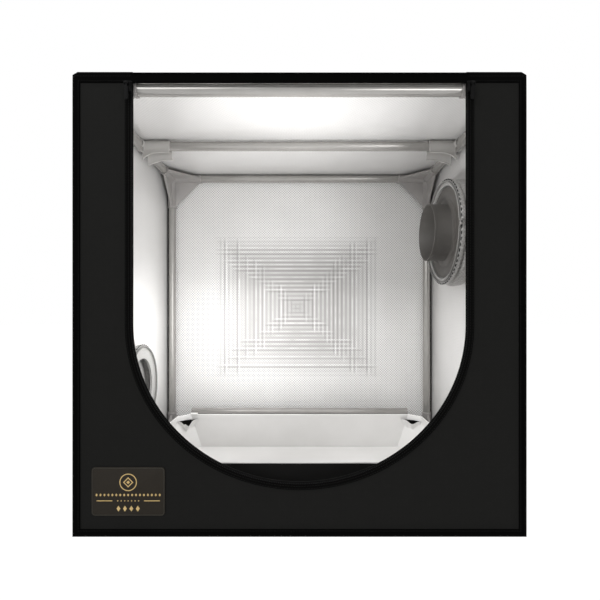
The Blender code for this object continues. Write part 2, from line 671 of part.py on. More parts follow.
def build_ports():
    """Both ports: sleeve, drawcord and lock, the left one's gathered end, the right one's flange."""
    silver = finish("silver_lining_fabric", (196, 196, 194), 0.45, 0.3)
    cord = finish("grey_drawcord", (96, 96, 94), 0.8)
    black = finish("black_acetal", (20, 20, 20), 0.45)
    flange_bore = FLANGE_RADIUS + FLANGE_PLAY
    ports = (
        ("left", -1, LEFT_PORT_HEIGHT, LEFT_SLEEVE_RADIUS, LEFT_SLEEVE_REACH, LEFT_CUFF_BULGE,
         LEFT_CUFF_BORE),
        ("right", 1, RIGHT_PORT_HEIGHT, RIGHT_SLEEVE_RADIUS, RIGHT_SLEEVE_REACH,
         RIGHT_CUFF_BULGE, flange_bore))
    lock_face = WALL_INNER - 2 * SEAM_GAP - 2 * LOCK_RADIUS
    for name, side, height, radius, reach, bulge, bore in ports:
        build_sleeve(f"{name}_port_sleeve", side, height, radius, reach, bulge, bore, silver)
        edge = radius + bulge
        route = drawcord_route(side, height, WALL_INNER - reach, edge, lock_face)
        build_drawcord(f"{name}_port_drawcord", route, cord)
        build_lock(name, side, height, edge + SEAM_GAP + LOCK_RADIUS, black)

    rim = LEFT_SLEEVE_RADIUS - SLEEVE_SKIN - SEAM_GAP
    inner = WALL_INNER + SEAM_GAP
    hub = CORD_RADIUS
    sock = [(inner, hub), (inner, rim), (WALL_OUTER, rim), (WALL_OUTER, SOCK_CROWN_RADIUS),
            (WALL_OUTER + SOCK_CROWN, hub)]
    turn("left_port_sock", sock, (0, 0, LEFT_PORT_HEIGHT), -1, finish(
        "black_sock_fabric", (31, 31, 29), 0.85))
    build_flange()


def build_flange():
    """The duct flange: a collar into the tent, a disc, and a spigot out to the wall."""
    grey = finish("dark_grey_abs", (84, 82, 79), 0.45)
    face = WALL_INNER - RIGHT_SLEEVE_REACH + FLANGE_SET_BACK
    back = face + FLANGE_THICK
    bore = COLLAR_RADIUS - COLLAR_WALL
    profile = [
        (face - COLLAR_REACH, bore), (face - COLLAR_REACH, COLLAR_RADIUS), (face, COLLAR_RADIUS),
        (face, FLANGE_RADIUS), (back, FLANGE_RADIUS), (back, COLLAR_RADIUS),
        (WALL_OUTER - SPIGOT_SHORT, COLLAR_RADIUS), (WALL_OUTER - SPIGOT_SHORT, bore)]
    turn("duct_flange", profile, (0, 0, RIGHT_PORT_HEIGHT), 1, grey)


# Tray and label

def octagon(half_x, half_y, corner):
    """Corners of a rectangle whose corners are cut off."""
    x, y = half_x - corner, half_y - corner
    return [(half_x, -y), (half_x, y), (x, half_y), (-x, half_y),
            (-half_x, y), (-half_x, -y), (-x, -half_y), (x, -half_y)]


def build_tray():
    """The spill tray: a shallow box of sheet whose walls lean in, with folded corners."""
    vinyl = finish("black_tray_sheet", (24, 24, 24), 0.5)
    foot_x = POLE_X - SOCKET_RADIUS - TRAY_PLAY
    foot_y = POLE_Y - SOCKET_RADIUS - TRAY_PLAY
    web_line = POLE_X + POLE_Y - WEB_REACH - SOCKET_RADIUS
    foot_corner = max(TRAY_TOP_CORNER, foot_x + foot_y - web_line + TRAY_WEB_CLEAR)
    rim_x, rim_y = foot_x - TRAY_SIDE_LEAN, foot_y - TRAY_END_LEAN
    low = FABRIC + SEAM_GAP
    rings = (
        (octagon(foot_x, foot_y, foot_corner), low),
        (octagon(rim_x, rim_y, TRAY_TOP_CORNER), low + TRAY_HEIGHT),
        (octagon(rim_x - TRAY_SKIN, rim_y - TRAY_SKIN, TRAY_TOP_CORNER), low + TRAY_HEIGHT),
        (octagon(foot_x - TRAY_SKIN, foot_y - TRAY_SKIN, foot_corner), low + TRAY_SKIN))
    shape = bmesh.new()
    loops = [[shape.verts.new((x, y, z)) for x, y in ring] for ring, z in rings]
    for lower, upper in zip(loops, loops[1:]):
        for index in range(len(lower)):
            following = (index + 1) % len(lower)
            shape.faces.new((lower[index], lower[following], upper[following], upper[index]))
    shape.faces.new(loops[0])
    shape.faces.new(loops[-1])
    add_object("spill_tray", shape, vinyl)


def build_label():
    """A plain sewn-on patch at the front's lower left."""
    patch = finish("dark_brown_patch", (51, 46, 42), 0.6)
    left = LABEL_SIDE_INSET - HALF_WIDTH
    right = left + LABEL_WIDTH
    low, high = LABEL_RISE, LABEL_RISE + LABEL_HEIGHT
    r = LABEL_ROUND
    outline = corner_arc(right - r, high - r, r, 0) + corner_arc(left + r, high - r, r, math.pi / 2)
    outline += corner_arc(left + r, low + r, r, math.pi)
    outline += corner_arc(right - r, low + r, r, 3 * math.pi / 2)
    extrude("label_patch", [outline], in_front(FRONT_FACE - SEAM_GAP - LABEL_THICK), LABEL_THICK,
            patch)


def main():
    """Clear the scene and build the tent."""
    for thing in list(bpy.data.objects):
        bpy.data.objects.remove(thing)
    build_frame()
    build_walls()
    build_bindings()
    build_zip_tape()
    build_door()
    build_sliders()
    build_ports()
    build_tray()
    build_label()


main()
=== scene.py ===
"""Looks of the indoor grow tent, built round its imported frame.

Metres, +Z up, the door facing -Y. Each sub-assembly is a class that makes its own meshes and
dresses them. Plans and sizes come from the frame's nodes, so every piece sits where it does.
"""
from __future__ import annotations

import json
import logging
import math
from dataclasses import dataclass, field
from enum import Enum
from functools import cached_property, partial
from typing import Callable, Optional, Sequence

import bmesh
import bpy
from mathutils import Matrix, Vector, noise


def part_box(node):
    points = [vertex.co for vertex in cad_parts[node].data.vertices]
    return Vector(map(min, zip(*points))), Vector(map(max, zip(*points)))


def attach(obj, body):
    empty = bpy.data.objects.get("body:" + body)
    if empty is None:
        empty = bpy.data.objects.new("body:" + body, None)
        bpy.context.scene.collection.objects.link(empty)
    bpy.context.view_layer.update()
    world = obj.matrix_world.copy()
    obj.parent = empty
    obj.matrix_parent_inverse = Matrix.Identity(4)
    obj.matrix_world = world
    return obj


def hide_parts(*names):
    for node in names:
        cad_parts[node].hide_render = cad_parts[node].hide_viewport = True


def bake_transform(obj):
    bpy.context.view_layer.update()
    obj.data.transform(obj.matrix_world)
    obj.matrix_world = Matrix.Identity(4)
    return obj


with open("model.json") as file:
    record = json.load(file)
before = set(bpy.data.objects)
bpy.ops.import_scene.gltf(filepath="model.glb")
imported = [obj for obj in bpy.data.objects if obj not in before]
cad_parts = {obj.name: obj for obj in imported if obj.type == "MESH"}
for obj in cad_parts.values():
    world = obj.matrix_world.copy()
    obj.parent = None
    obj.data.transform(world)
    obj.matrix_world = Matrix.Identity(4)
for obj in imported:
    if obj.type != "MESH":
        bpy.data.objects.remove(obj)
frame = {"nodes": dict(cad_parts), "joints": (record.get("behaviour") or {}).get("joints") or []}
LOG = logging.getLogger("tent")

MM = 0.001
Point2 = tuple[float, float]
Loop = list[Point2]
Place = Callable[[float, float, float], Vector]
Thing = bpy.types.Object
Tree = bpy.types.NodeTree
Node = bpy.types.Node
Socket = bpy.types.NodeSocket
Shape = bmesh.types.BMesh
UV_NAME = "cloth"
WHITE = (1.0, 1.0, 1.0, 1.0)
SMOOTH_ANGLE = math.radians(35)
DIAGONAL = math.radians(45)
COAT_ROUGHNESS = 0.25
FINE = 0.03 * MM


# Small tools

def linear(code: str) -> tuple[float, float, float, float]:
    """Turn an sRGB hex colour such as "1e1e1c" into linear RGBA."""
    channels = [int(code[at:at + 2], 16) / 255 for at in (0, 2, 4)]
    flat = [c / 12.92 if c <= 0.04045 else ((c + 0.055) / 1.055) ** 2.4 for c in channels]
    return (*flat, 1.0)


def wave_scale(period: float) -> float:
    """Scale that gives a Wave texture's bands the period, in metres."""
    return math.tau / (20 * period)


def fill(tree: Tree, node: Node, links: dict) -> None:
    """Fill a node's inputs.

    Args:
        tree: The node tree.
        node: The node.
        links: Input name or number to a value, an output, or a node whose first output counts.
    """
    for key, value in links.items():
        if isinstance(value, Node):
            value = next(output for output in value.outputs if output.enabled)
        if isinstance(value, Socket):
            tree.links.new(value, node.inputs[key])
        else:
            node.inputs[key].default_value = value


def add_node(tree: Tree, kind: str, links: Optional[dict] = None,
             **settings) -> Node:
    """Add a node, set its attributes and fill its inputs.

    Args:
        tree: The node tree.
        kind: The node type's identifier.
        links: What fills its inputs.
        settings: Attributes of the node.

    Returns:
        The new node.
    """
    node = tree.nodes.new(kind)
    for key, value in settings.items():
        setattr(node, key, value)
    fill(tree, node, links or {})
    return node


@dataclass
class Cells:
    """A flat patch of faces: its points, its faces and a cloth coordinate for each point."""

    points: Loop
    faces: list[tuple[int, ...]]
    weave: Loop
    shares: list[float]

    def at_y(self, y: float) -> Callable[[int], Vector]:
        """Turn a point's number into its place on the upright plane at y."""
        return lambda i: Vector((self.points[i][0], y, self.points[i][1]))

    def rim(self) -> list[tuple[int, int]]:
        """Edges that only one face uses, in that face's direction."""
        used = {}
        for face in self.faces:
            for pair in zip(face, face[1:] + face[:1]):
                used[pair] = True
        return [pair for pair in used if pair[::-1] not in used]


def grid_cells(low: Point2, high: Point2, step: float) -> Cells:
    """Even square cells over a rectangle.

    Args:
        low: Lowest corner.
        high: Highest corner.
        step: Wanted size of a cell.

    Returns:
        The cells.
    """
    across = max(1, round((high[0] - low[0]) / step))
    up = max(1, round((high[1] - low[1]) / step))
    points = [(low[0] + (high[0] - low[0]) * i / across, low[1] + (high[1] - low[1]) * j / up)
              for j in range(up + 1) for i in range(across + 1)]
    row = across + 1
    faces = [(j * row + i, j * row + i + 1, (j + 1) * row + i + 1, (j + 1) * row + i)
             for j in range(up) for i in range(across)]
    return Cells(points, faces, points, [0.0] * len(points))


def hit(loop: Loop, centre: Point2, angle: float) -> Point2:
    """Where a ray from the centre crosses a loop that goes once round it."""
    ray = (math.cos(angle), math.sin(angle))
    best = None
    for (ax, ay), (bx, by) in zip(loop, loop[1:] + loop[:1]):
        ex, ey = bx - ax, by - ay
        cross = ray[0] * ey - ray[1] * ex
        if abs(cross) < 1e-12:
            continue
        far = ((ax - centre[0]) * ey - (ay - centre[1]) * ex) / cross
        share = ((ax - centre[0]) * ray[1] - (ay - centre[1]) * ray[0]) / cross
        if far > 0 and -1e-6 <= share <= 1 + 1e-6 and (best is None or far > best):
            best = far
    return centre[0] + ray[0] * best, centre[1] + ray[1] * best


def sharp_angles(loop: Loop, centre: Point2) -> list[float]:
    """Angles, seen from the centre, of the corners of a loop that turn by more than 20 degrees."""
    found = []
    for before, at, after in zip(loop[-1:] + loop[:-1], loop, loop[1:] + loop[:1]):
        first = Vector((at[0] - before[0], at[1] - before[1]))
        second = Vector((after[0] - at[0], after[1] - at[1]))
        if first.length > 0 and second.length > 0 and first.angle(second) > math.radians(20):
            found.append(math.atan2(at[1] - centre[1], at[0] - centre[0]) % math.tau)
    return found


def ring_cells(outer: Loop, inner: Loop, centre: Point2, rays: int, rings: int) -> Cells:
    """Cells between two loops that both go round a centre.

    Args:
        outer: The outer loop.
        inner: The inner loop.
        centre: A point that sees all of both loops.
        rays: Number of spokes, before corners are added.
        rings: Number of rows of cells between the loops.

    Returns:
        The cells, whose shares go from 0 at the outer loop to 1 at the inner one.
    """
    corners = sharp_angles(outer, centre) + sharp_angles(inner, centre)
    even = [math.tau * step / rays for step in range(rays)]
    near = math.tau / rays / 3
    kept = [a for a in even if all(abs((a - c + math.pi) % math.tau - math.pi) > near for c in corners)]
    angles = sorted(kept + corners)
    angles = [a for a, b in zip(angles, angles[1:] + [angles[0] + math.tau]) if b - a > 1e-5]
    edge = [(hit(outer, centre, a), hit(inner, centre, a)) for a in angles]
    points, weave, shares, run = [], [], [], [0.0]
    for (p, _), (q, _) in zip(edge, edge[1:] + edge[:1]):
        run.append(run[-1] + math.dist(p, q))
    for k in range(rings + 1):
        share = k / rings
        for index, (p, q) in enumerate(edge):
            points.append((p[0] + (q[0] - p[0]) * share, p[1] + (q[1] - p[1]) * share))
            weave.append((run[index], share * math.dist(p, q)))
            shares.append(share)
    count = len(edge)
    faces = [(k * count + i, k * count + (i + 1) % count, (k + 1) * count + (i + 1) % count,
              (k + 1) * count + i) for k in range(rings) for i in range(count)]
    return Cells(points, faces, weave, shares)


def band_cells(left: Loop, right: Loop, columns: int) -> Cells:
    """Cells of an open band between two lines of as many points.

    Args:
        left: One edge.
        right: The other edge.
        columns: Number of cells across.

    Returns:
        The cells, whose shares go from 0 at the left edge to 1 at the right one.
    """
    run = [0.0]
    for p, q in zip(left, left[1:]):
        run.append(run[-1] + math.dist(p, q))
    points, weave, shares = [], [], []
    for index, (p, q) in enumerate(zip(left, right)):
        for k in range(columns + 1):
            share = k / columns
            points.append((p[0] + (q[0] - p[0]) * share, p[1] + (q[1] - p[1]) * share))
            weave.append((run[index], share * math.dist(p, q)))
            shares.append(share)
    row = columns + 1
    faces = [(j * row + k, j * row + k + 1, (j + 1) * row + k + 1, (j + 1) * row + k)
             for j in range(len(left) - 1) for k in range(columns)]
    return Cells(points, faces, weave, shares)


def finish_mesh(name: str, shape: Shape, weave: Optional[Loop] = None) -> Thing:
    """Turn a bmesh into a linked object with outward faces.

    Args:
        name: The object's name.
        shape: The bmesh, which is freed.
        weave: Cloth coordinates of the vertices, in their order.

    Returns:
        The object.
    """
    bmesh.ops.recalc_face_normals(shape, faces=shape.faces)
    if weave:
        layer = shape.loops.layers.uv.new(UV_NAME)
        shape.verts.index_update()
        for face in shape.faces:
            for corner in face.loops:
                corner[layer].uv = weave[corner.vert.index]
    mesh = bpy.data.meshes.new(name)
    shape.to_mesh(mesh)
    shape.free()
    mesh.shade_smooth()
    mesh.set_sharp_from_angle(angle=SMOOTH_ANGLE)
    thing = bpy.data.objects.new(name, mesh)
    bpy.context.scene.collection.objects.link(thing)
    return thing


def bridge(shape: Shape, *rings: Sequence[bmesh.types.BMVert]) -> None:
    """Add the faces between closed rings of as many vertices, from each to the next."""
    for first, second in zip(rings, rings[1:]):
        for i in range(len(first)):
            j = (i + 1) % len(first)
            shape.faces.new((first[i], first[j], second[j], second[i]))


def thick_cells(name: str, cells: Cells, top: Callable[[int], Vector],
                under: Callable[[int], Vector]) -> Thing:
    """Close a patch of cells into a thin solid.

    Args:
        name: The object's name.
        cells: The patch.
        top: Place of a point on the upper face, from its number.
        under: Place of a point on the lower face, from its number.

    Returns:
        The object.
    """
    shape = bmesh.new()
    count = len(cells.points)
    verts = [shape.verts.new(top(i)) for i in range(count)]
    verts += [shape.verts.new(under(i)) for i in range(count)]
    for face in cells.faces:
        shape.faces.new([verts[i] for i in face])
        shape.faces.new([verts[i + count] for i in face[::-1]])
    for a, b in cells.rim():
        shape.faces.new((verts[b], verts[a], verts[a + count], verts[b + count]))
    return finish_mesh(name, shape, cells.weave * 2)


def bake(thing: Thing) -> Thing:
    """Apply an object's modifiers to its mesh."""
    bpy.context.view_layer.update()
    evaluated = thing.evaluated_get(bpy.context.evaluated_depsgraph_get())
    mesh = bpy.data.meshes.new_from_object(evaluated)
    thing.modifiers.clear()
    thing.data = mesh
    return thing


def soften(thing: Thing, width: float, segments: int = 2) -> Thing:
    """Round an object's sharp edges with a bevel, and bake it.

    Args:
        thing: The object.
        width: The bevel's width.
        segments: The bevel's segments.

    Returns:
        The object.
    """
    bevel = thing.modifiers.new("Round", "BEVEL")
    bevel.width = width
    bevel.segments = segments
    bevel.limit_method = "ANGLE"
    bevel.angle_limit = SMOOTH_ANGLE
    bevel.harden_normals = False
    bake(thing)
    thing.data.shade_smooth()
    thing.data.set_sharp_from_angle(angle=SMOOTH_ANGLE)
    return thing


def node_copy(name: str, node: str, width: float) -> Thing:
    """A merged copy of a node with its edges rounded.

    Args:
        name: The new piece's name.
        node: The node that it copies.
        width: The bevel's width.

    Returns:
        The piece.
    """
    shape = bmesh.new()
    shape.from_mesh(frame["nodes"][node].data)
    bmesh.ops.remove_doubles(shape, verts=shape.verts, dist=0.01 * MM)
    bmesh.ops.dissolve_limit(shape, angle_limit=math.radians(1), verts=shape.verts, edges=shape.edges)
    piece = finish_mesh(name, shape)
    piece.data.materials.clear()
    return soften(piece, width)


def lathe(name: str, profile: Loop, centre: Vector, side: int, steps: int,
          shift: Optional[Callable[[int, float], Point2]] = None) -> Thing:
    """Turn a closed (x, radius) profile about the X axis through a centre.

    Args:
        name: The piece's name.
        profile: Points of the closed section.
        centre: A point of the axis.
        side: 1 for the right wall, -1 for the left one, whose x runs the other way.
        steps: Number of facets round.
        shift: Change in (x, radius) of a profile point at an angle.

    Returns:
        The piece, with cloth coordinates along and across.
    """
    shape = bmesh.new()
    rings, weave, run = [], [], [0.0]
    for p, q in zip(profile, profile[1:] + profile[:1]):
        run.append(run[-1] + math.dist(p, q))
    mean = sum(radius for _, radius in profile) / len(profile)
    for step in range(steps):
        angle = math.tau * step / steps
        ring = []
        for index, (x, radius) in enumerate(profile):
            dx, dr = shift(index, angle) if shift else (0.0, 0.0)
            place = Vector((side * (x + dx), 0, 0)) + Vector(
                (0, -(radius + dr) * math.sin(angle), (radius + dr) * math.cos(angle)))
            ring.append(shape.verts.new(place + Vector((0, centre.y, centre.z))))
            weave.append((angle * mean, run[index]))
        rings.append(ring)
    bridge(shape, *rings, rings[0])
    return finish_mesh(name, shape, weave)


def loft(name: str, sections: Sequence[Sequence[Vector]]) -> Thing:
    """A thin sheet through sections, each the closed loop of thick_path.

    Args:
        name: The piece's name.
        sections: Loops of as many points, from one end to the other.

    Returns:
        The piece, with cloth coordinates along and round.
    """
    shape = bmesh.new()
    rows = [[shape.verts.new(point) for point in section] for section in sections]
    weave, along = [], 0.0
    for number, section in enumerate(sections):
        along += (section[0] - sections[number - 1][0]).length if number else 0.0
        run = 0.0
        for i, point in enumerate(section):
            run += (point - section[i - 1]).length if i else 0.0
            weave.append((along, run))
    bridge(shape, *rows)
    count = len(rows[0])
    for row in (rows[0], rows[-1]):
        for i in range(count // 2 - 1):
            j = count - 1 - i
            shape.faces.new((row[i], row[i + 1], row[j - 1], row[j]))
    return finish_mesh(name, shape, weave)


def tube(name: str, points: Sequence[Vector], radius: float, sides: int, closed: bool = False,
         hollow: float = 0.0) -> Thing:
    """A round tube along a line of points.

    Args:
        name: The piece's name.
        points: The line.
        radius: Outer radius.
        sides: Number of facets round.
        closed: Whether the line closes on itself.
        hollow: Radius of the bore, or 0 for a solid rod.

    Returns:
        The piece, with cloth coordinates round and along.
    """
    shape = bmesh.new()
    count = len(points)
    loops, weave, run, normal = [], [], 0.0, None
    for index, point in enumerate(points):
        before = points[(index - 1) % count] if closed or index else point
        after = points[(index + 1) % count] if closed or index < count - 1 else point
        along = (after - before).normalized()
        if normal is None:
            normal = along.orthogonal().normalized()
        normal = (normal - along * normal.dot(along)).normalized()
        other = along.cross(normal)
        if index:
            run += (point - points[index - 1]).length
        loops.append([])
        for reach in ((radius, hollow) if hollow else (radius,)):
            ring = []
            for side in range(sides):
                turn = math.tau * side / sides
                ring.append(shape.verts.new(point + reach * (
                    normal * math.cos(turn) + other * math.sin(turn))))
                weave.append((turn * radius, run))
            loops[-1].append(ring)
    for first, second in zip(loops, loops[1:] + (loops[:1] if closed else [])):
        for ring, following in zip(first, second):
            bridge(shape, ring, following)
    for end in () if closed else (loops[0], loops[-1]):
        if hollow:
            bridge(shape, *end)
        else:
            shape.faces.new(end[0])
    return finish_mesh(name, shape, weave)


def ripple(u: float, v: float, seed: float, length: float) -> float:
    """A smooth random height from -1 to 1.

    Args:
        u: First coordinate.
        v: Second coordinate.
        seed: Number that sets one cloth apart from another.
        length: Length of the waves.

    Returns:
        The height.
    """
    return noise.noise(Vector((u / length, v / length, seed)))


# Finishes

def lattice(tree: Tree, cloth: Node, period: float,
            turn: float = 0.0) -> list[Socket]:
    """Two crossed sets of even bands.

    Args:
        tree: The node tree.
        cloth: The cloth coordinates.
        period: Distance from band to band.
        turn: Angle by which both sets are turned.

    Returns:
        The heights of the two sets.
    """
    add = partial(add_node, tree)
    if turn:
        cloth = add("ShaderNodeMapping", {"Vector": cloth, "Rotation": (0, 0, turn)})
    return [add("ShaderNodeTexWave", {"Vector": cloth, "Scale": wave_scale(period)},
                bands_direction=way).outputs["Fac"] for way in ("X", "Y")]


@dataclass(frozen=True)
class Finish:
    """A material, made once, when a piece first asks for it."""

    name: str
    dark: str
    light: str
    depth: float = 0.15 * MM
    roughness: float = 0.5
    specular: float = 0.5
    metallic: float = 0.0
    coat: float = 0.0

    @cached_property
    def material(self) -> bpy.types.Material:
        """The finish as a Blender material."""
        made = bpy.data.materials.new(self.name)
        made.use_nodes = True
        tree = made.node_tree
        self.dress(tree, tree.nodes["Principled BSDF"])
        return made

    def dress(self, tree: Tree, shader: Node) -> None:
        """Fill the material's tree."""
        raise NotImplementedError

    def on(self, piece: Thing) -> Thing:
        """Give the finish to a piece."""
        piece.data.materials.clear()
        piece.data.materials.append(self.material)
        return piece

    def detail(self, tree: Tree, colour: Node, height: Node) -> Node:
        """The colour with what the relief does to it, which on most finishes is nothing."""
        return colour

    def cover(self, tree: Tree, shader: Node, tone: Node, height: Node,
              gloss: Optional[Node] = None) -> None:
        """Give the shader its colour, its bump and its gloss.

        Args:
            tree: The node tree.
            shader: The principled shader.
            tone: The share of the light colour, from 0 to 1.
            height: The height of the surface, from 0 to 1.
            gloss: The roughness, where it varies.
        """
        colour = add_node(tree, "ShaderNodeMix", {"Factor": tone, "A": linear(self.dark),
                                                  "B": linear(self.light)}, data_type="RGBA")
        bump = add_node(tree, "ShaderNodeBump", {"Height": height, "Strength": 1.0,
                                                 "Distance": self.depth})
        fill(tree, shader, {
            "Base Color": self.detail(tree, colour, height), "Normal": bump,
            "Roughness": gloss or self.roughness,
            "Metallic": self.metallic, "Specular IOR Level": self.specular,
            "Coat Weight": self.coat, "Coat Roughness": COAT_ROUGHNESS})


@dataclass(frozen=True)
class WovenCanvas(Finish):
    """600-denier polyester Oxford cloth, plain-woven and dyed black.

    The eye gets a dull near-black with a faint basket weave and soft pale dust. Its real
    thread spacing of 0.6 mm is drawn at 1.6 mm, so that it shows.
    """

    thread: float = 1.6 * MM
    dust: float = 40 * MM

    def dress(self, tree: Tree, shader: Node) -> None:
        """Two crossed threads in bump and tone, over a slow mottle."""
        add = partial(add_node, tree)
        cloth = add("ShaderNodeUVMap", uv_map=UV_NAME)
        bands = lattice(tree, cloth, self.thread)
        crossed = add("ShaderNodeMath", {0: bands[0], 1: bands[1]}, operation="MULTIPLY")
        slow = add("ShaderNodeTexNoise", {"Vector": cloth, "Scale": 1 / self.dust, "Detail": 5.0,
                                          "Roughness": 0.6})
        tone = add("ShaderNodeMath", {0: crossed, 1: slow}, operation="MULTIPLY")
        self.cover(tree, shader, tone, crossed)


@dataclass(frozen=True)
class PaintedReflectionSquares:
    """Nested squares of light and dark lines, which the back wall's film throws back.

    Lines stand at an even spacing on both sides of the centre, and each pair of lines closes
    a square. A chance drawn for each line sets how far it runs and how strong it is. All of it is
    painted into the colour: the light lines are a painted reflection of the lamps, the dark lines
    beside them are painted shade, and the dim colour round the middle is a painted dark reflection.
    """

    strength: float = 0.7
    centre: Point2 = (-6 * MM, 310 * MM)
    spacing: float = 9.4 * MM
    reach: float = 160 * MM
    wobble: float = 30 * MM
    width_share: float = 0.86
    light_power: float = 7.0
    dark_power: float = 4.0
    run_shares: Point2 = (0.6, 0.85)
    power_shares: Point2 = (0.85, 0.15)
    core_shares: Point2 = (0.04, 0.22)
    fade_share: float = 0.85
    dim_share: float = 0.55
    break_range: Point2 = (0.35, 0.6)
    break_share: float = 0.35
    dash_shares: Point2 = (0.65, 0.35)
    # Painted colours: a dim painted reflection round the middle, and painted shade beside the light lines.
    painted_dark_reflection: str = "9d9b99"
    painted_line_shade: str = "7d7b79"

    def lines(self, tree: Tree, moved: Node, parts: Node,
              sizes: list[Node], near: int) -> list[Node]:
        """The lines that cross one axis.

        Args:
            tree: The node tree.
            moved: Coordinates from the centre.
            parts: The same as single numbers.
            sizes: Their distances from the centre.
            near: The axis that they cross.

        Returns:
            The light lines and the dark lines.
        """
        add = partial(add_node, tree)
        wave = add("ShaderNodeTexWave", {
            "Vector": moved, "Scale": wave_scale(self.spacing), "Phase Offset": math.pi / 2},
            bands_direction="XY"[near]).outputs["Fac"]
        middle = add("ShaderNodeMath", {0: parts.outputs[near], 1: self.spacing / 2}, operation="ADD")
        number = add("ShaderNodeMath", {0: middle, 1: self.spacing}, operation="SNAP")
        chance = add("ShaderNodeTexWhiteNoise", {"W": number}, noise_dimensions="1D")
        longer, power = (
            add("ShaderNodeMath", {0: chance, 1: shares[0], 2: shares[1]}, operation="MULTIPLY_ADD")
            for shares in (self.run_shares, self.power_shares))
        slack = add("ShaderNodeMath", {0: sizes[near], 1: longer, 2: self.spacing},
                    operation="MULTIPLY_ADD")
        near_end = add("ShaderNodeMath", {0: slack, 1: self.spacing}, operation="SUBTRACT")
        inside = add("ShaderNodeMapRange", {"Value": sizes[1 - near], "From Min": slack,
                                            "From Max": near_end})
        kept = add("ShaderNodeMath", {0: inside, 1: power}, operation="MULTIPLY", use_clamp=True)
        below = add("ShaderNodeMath", {0: 1.0, 1: wave}, operation="SUBTRACT")
        thin = (add("ShaderNodeMath", {0: source, 1: sharp}, operation="POWER")
                for source, sharp in ((wave, self.light_power), (below, self.dark_power)))
        return [add("ShaderNodeMath", {0: shape, 1: kept}, operation="MULTIPLY") for shape in thin]

    def over(self, tree: Tree, base: Node, facets: Node) -> Node:
        """Lay the squares over a colour.

        Args:
            tree: The node tree.
            base: The colour under the lines.
            facets: Height of the embossed diamonds.

        Returns:
            The colour with the lines.
        """
        add = partial(add_node, tree)
        cloth = add("ShaderNodeUVMap", uv_map=UV_NAME)
        moved = add("ShaderNodeMapping", {
            "Vector": cloth, "Location": (-self.centre[0], -self.centre[1], 0)})
        parts = add("ShaderNodeSeparateXYZ", {0: moved})
        sizes = [add("ShaderNodeMath", {0: parts.outputs[axis]}, operation="ABSOLUTE")
                 for axis in ("X", "Y")]
        sizes[0] = add("ShaderNodeMath", {0: sizes[0], 1: self.width_share}, operation="MULTIPLY")
        pairs = zip(*(self.lines(tree, moved, parts, sizes, near) for near in (0, 1)))
        light, dark, largest = (
            add("ShaderNodeMath", {0: first, 1: second}, operation="MAXIMUM")
            for first, second in (*pairs, sizes))
        fade, around = (
            add("ShaderNodeMapRange", {"Value": largest, "From Min": self.reach,
                                       "From Max": share * self.reach, "To Max": self.strength})
            for share in (self.fade_share, self.dim_share))
        core = add("ShaderNodeMapRange", {
            "Value": largest, "From Min": self.core_shares[0] * self.reach,
            "From Max": self.core_shares[1] * self.reach})
        noisy = add("ShaderNodeTexNoise", {"Vector": cloth, "Scale": 1 / self.wobble})
        broken = add("ShaderNodeMapRange", {
            "Value": noisy, "From Min": self.break_range[0], "From Max": self.break_range[1],
            "To Min": self.break_share})
        dashed = add("ShaderNodeMath", {0: facets, 1: self.dash_shares[0], 2: self.dash_shares[1]},
                     operation="MULTIPLY_ADD")
        painted_line_shade = add("ShaderNodeMath", {0: dark, 1: fade}, operation="MULTIPLY")
        for factor in (fade, core, broken, dashed):
            light = add("ShaderNodeMath", {0: light, 1: factor}, operation="MULTIPLY")
        # Painted into the colour: the dim reflection round the middle, the shade beside each line and the
        # white highlight of each line.
        for share, colour in ((around, self.painted_dark_reflection), (painted_line_shade, self.painted_line_shade), (light, "ffffff")):
            base = add("ShaderNodeMix", {"Factor": share, "A": base, "B": linear(colour)},
                       data_type="RGBA")
        return base


@dataclass(frozen=True)
class EmbossedFilm(Finish):
    """Aluminised polyester film laminated on the cloth and embossed with small diamonds.

    The eye gets a bright silver-white that mirrors softly, with a fine diagonal mesh of
    facets whose hollows carry painted shade. On the back wall the nested squares of lines that
    the mesh throws back are a painted reflection in the colour.
    """

    # Painted shade: the colour that the hollows of the diamonds take.
    painted_pit_shade: str = "dbdad8"
    diamond: float = 5.6 * MM
    mottle: float = 90 * MM
    squares: Optional[PaintedReflectionSquares] = None

    def dress(self, tree: Tree, shader: Node) -> None:
        """Diagonal facets in bump, over a slow mottle."""
        add = partial(add_node, tree)
        cloth = add("ShaderNodeUVMap", uv_map=UV_NAME)
        bands = lattice(tree, cloth, self.diamond / math.sqrt(2), DIAGONAL)
        troughs = [add("ShaderNodeMath", {0: 1.0, 1: band}, operation="SUBTRACT") for band in bands]
        dots = add("ShaderNodeMath", {0: troughs[0], 1: troughs[1]}, operation="MULTIPLY")
        facets = add("ShaderNodeMath", {0: 1.0, 1: dots}, operation="SUBTRACT")
        slow = add("ShaderNodeTexNoise", {"Vector": cloth, "Scale": 1 / self.mottle, "Detail": 3.0})
        self.cover(tree, shader, slow, facets)

    def detail(self, tree: Tree, colour: Node, height: Node) -> Node:
        """Darker pits, and nested squares of lines where they are wanted."""
        # Painted shade in the hollows of the diamonds, then the painted reflection of the squares.
        base = add_node(tree, "ShaderNodeMix", {"Factor": height, "A": linear(self.painted_pit_shade), "B": colour},
                        data_type="RGBA")
        return self.squares.over(tree, base, height) if self.squares else base


@dataclass(frozen=True)
class RibbedTape(Finish):
    """Grosgrain binding or zip tape, woven with ribs across its length.

    The eye gets a flat black strip with fine cross ribs. Ribs of 1 mm are drawn at 2 mm.
    """

    rib: float = 2.0 * MM

    def dress(self, tree: Tree, shader: Node) -> None:
        """Ribs across the tape's length, in bump and tone."""
        cloth = add_node(tree, "ShaderNodeUVMap", uv_map=UV_NAME)
        ribs = lattice(tree, cloth, self.rib)[0]
        self.cover(tree, shader, ribs, ribs)


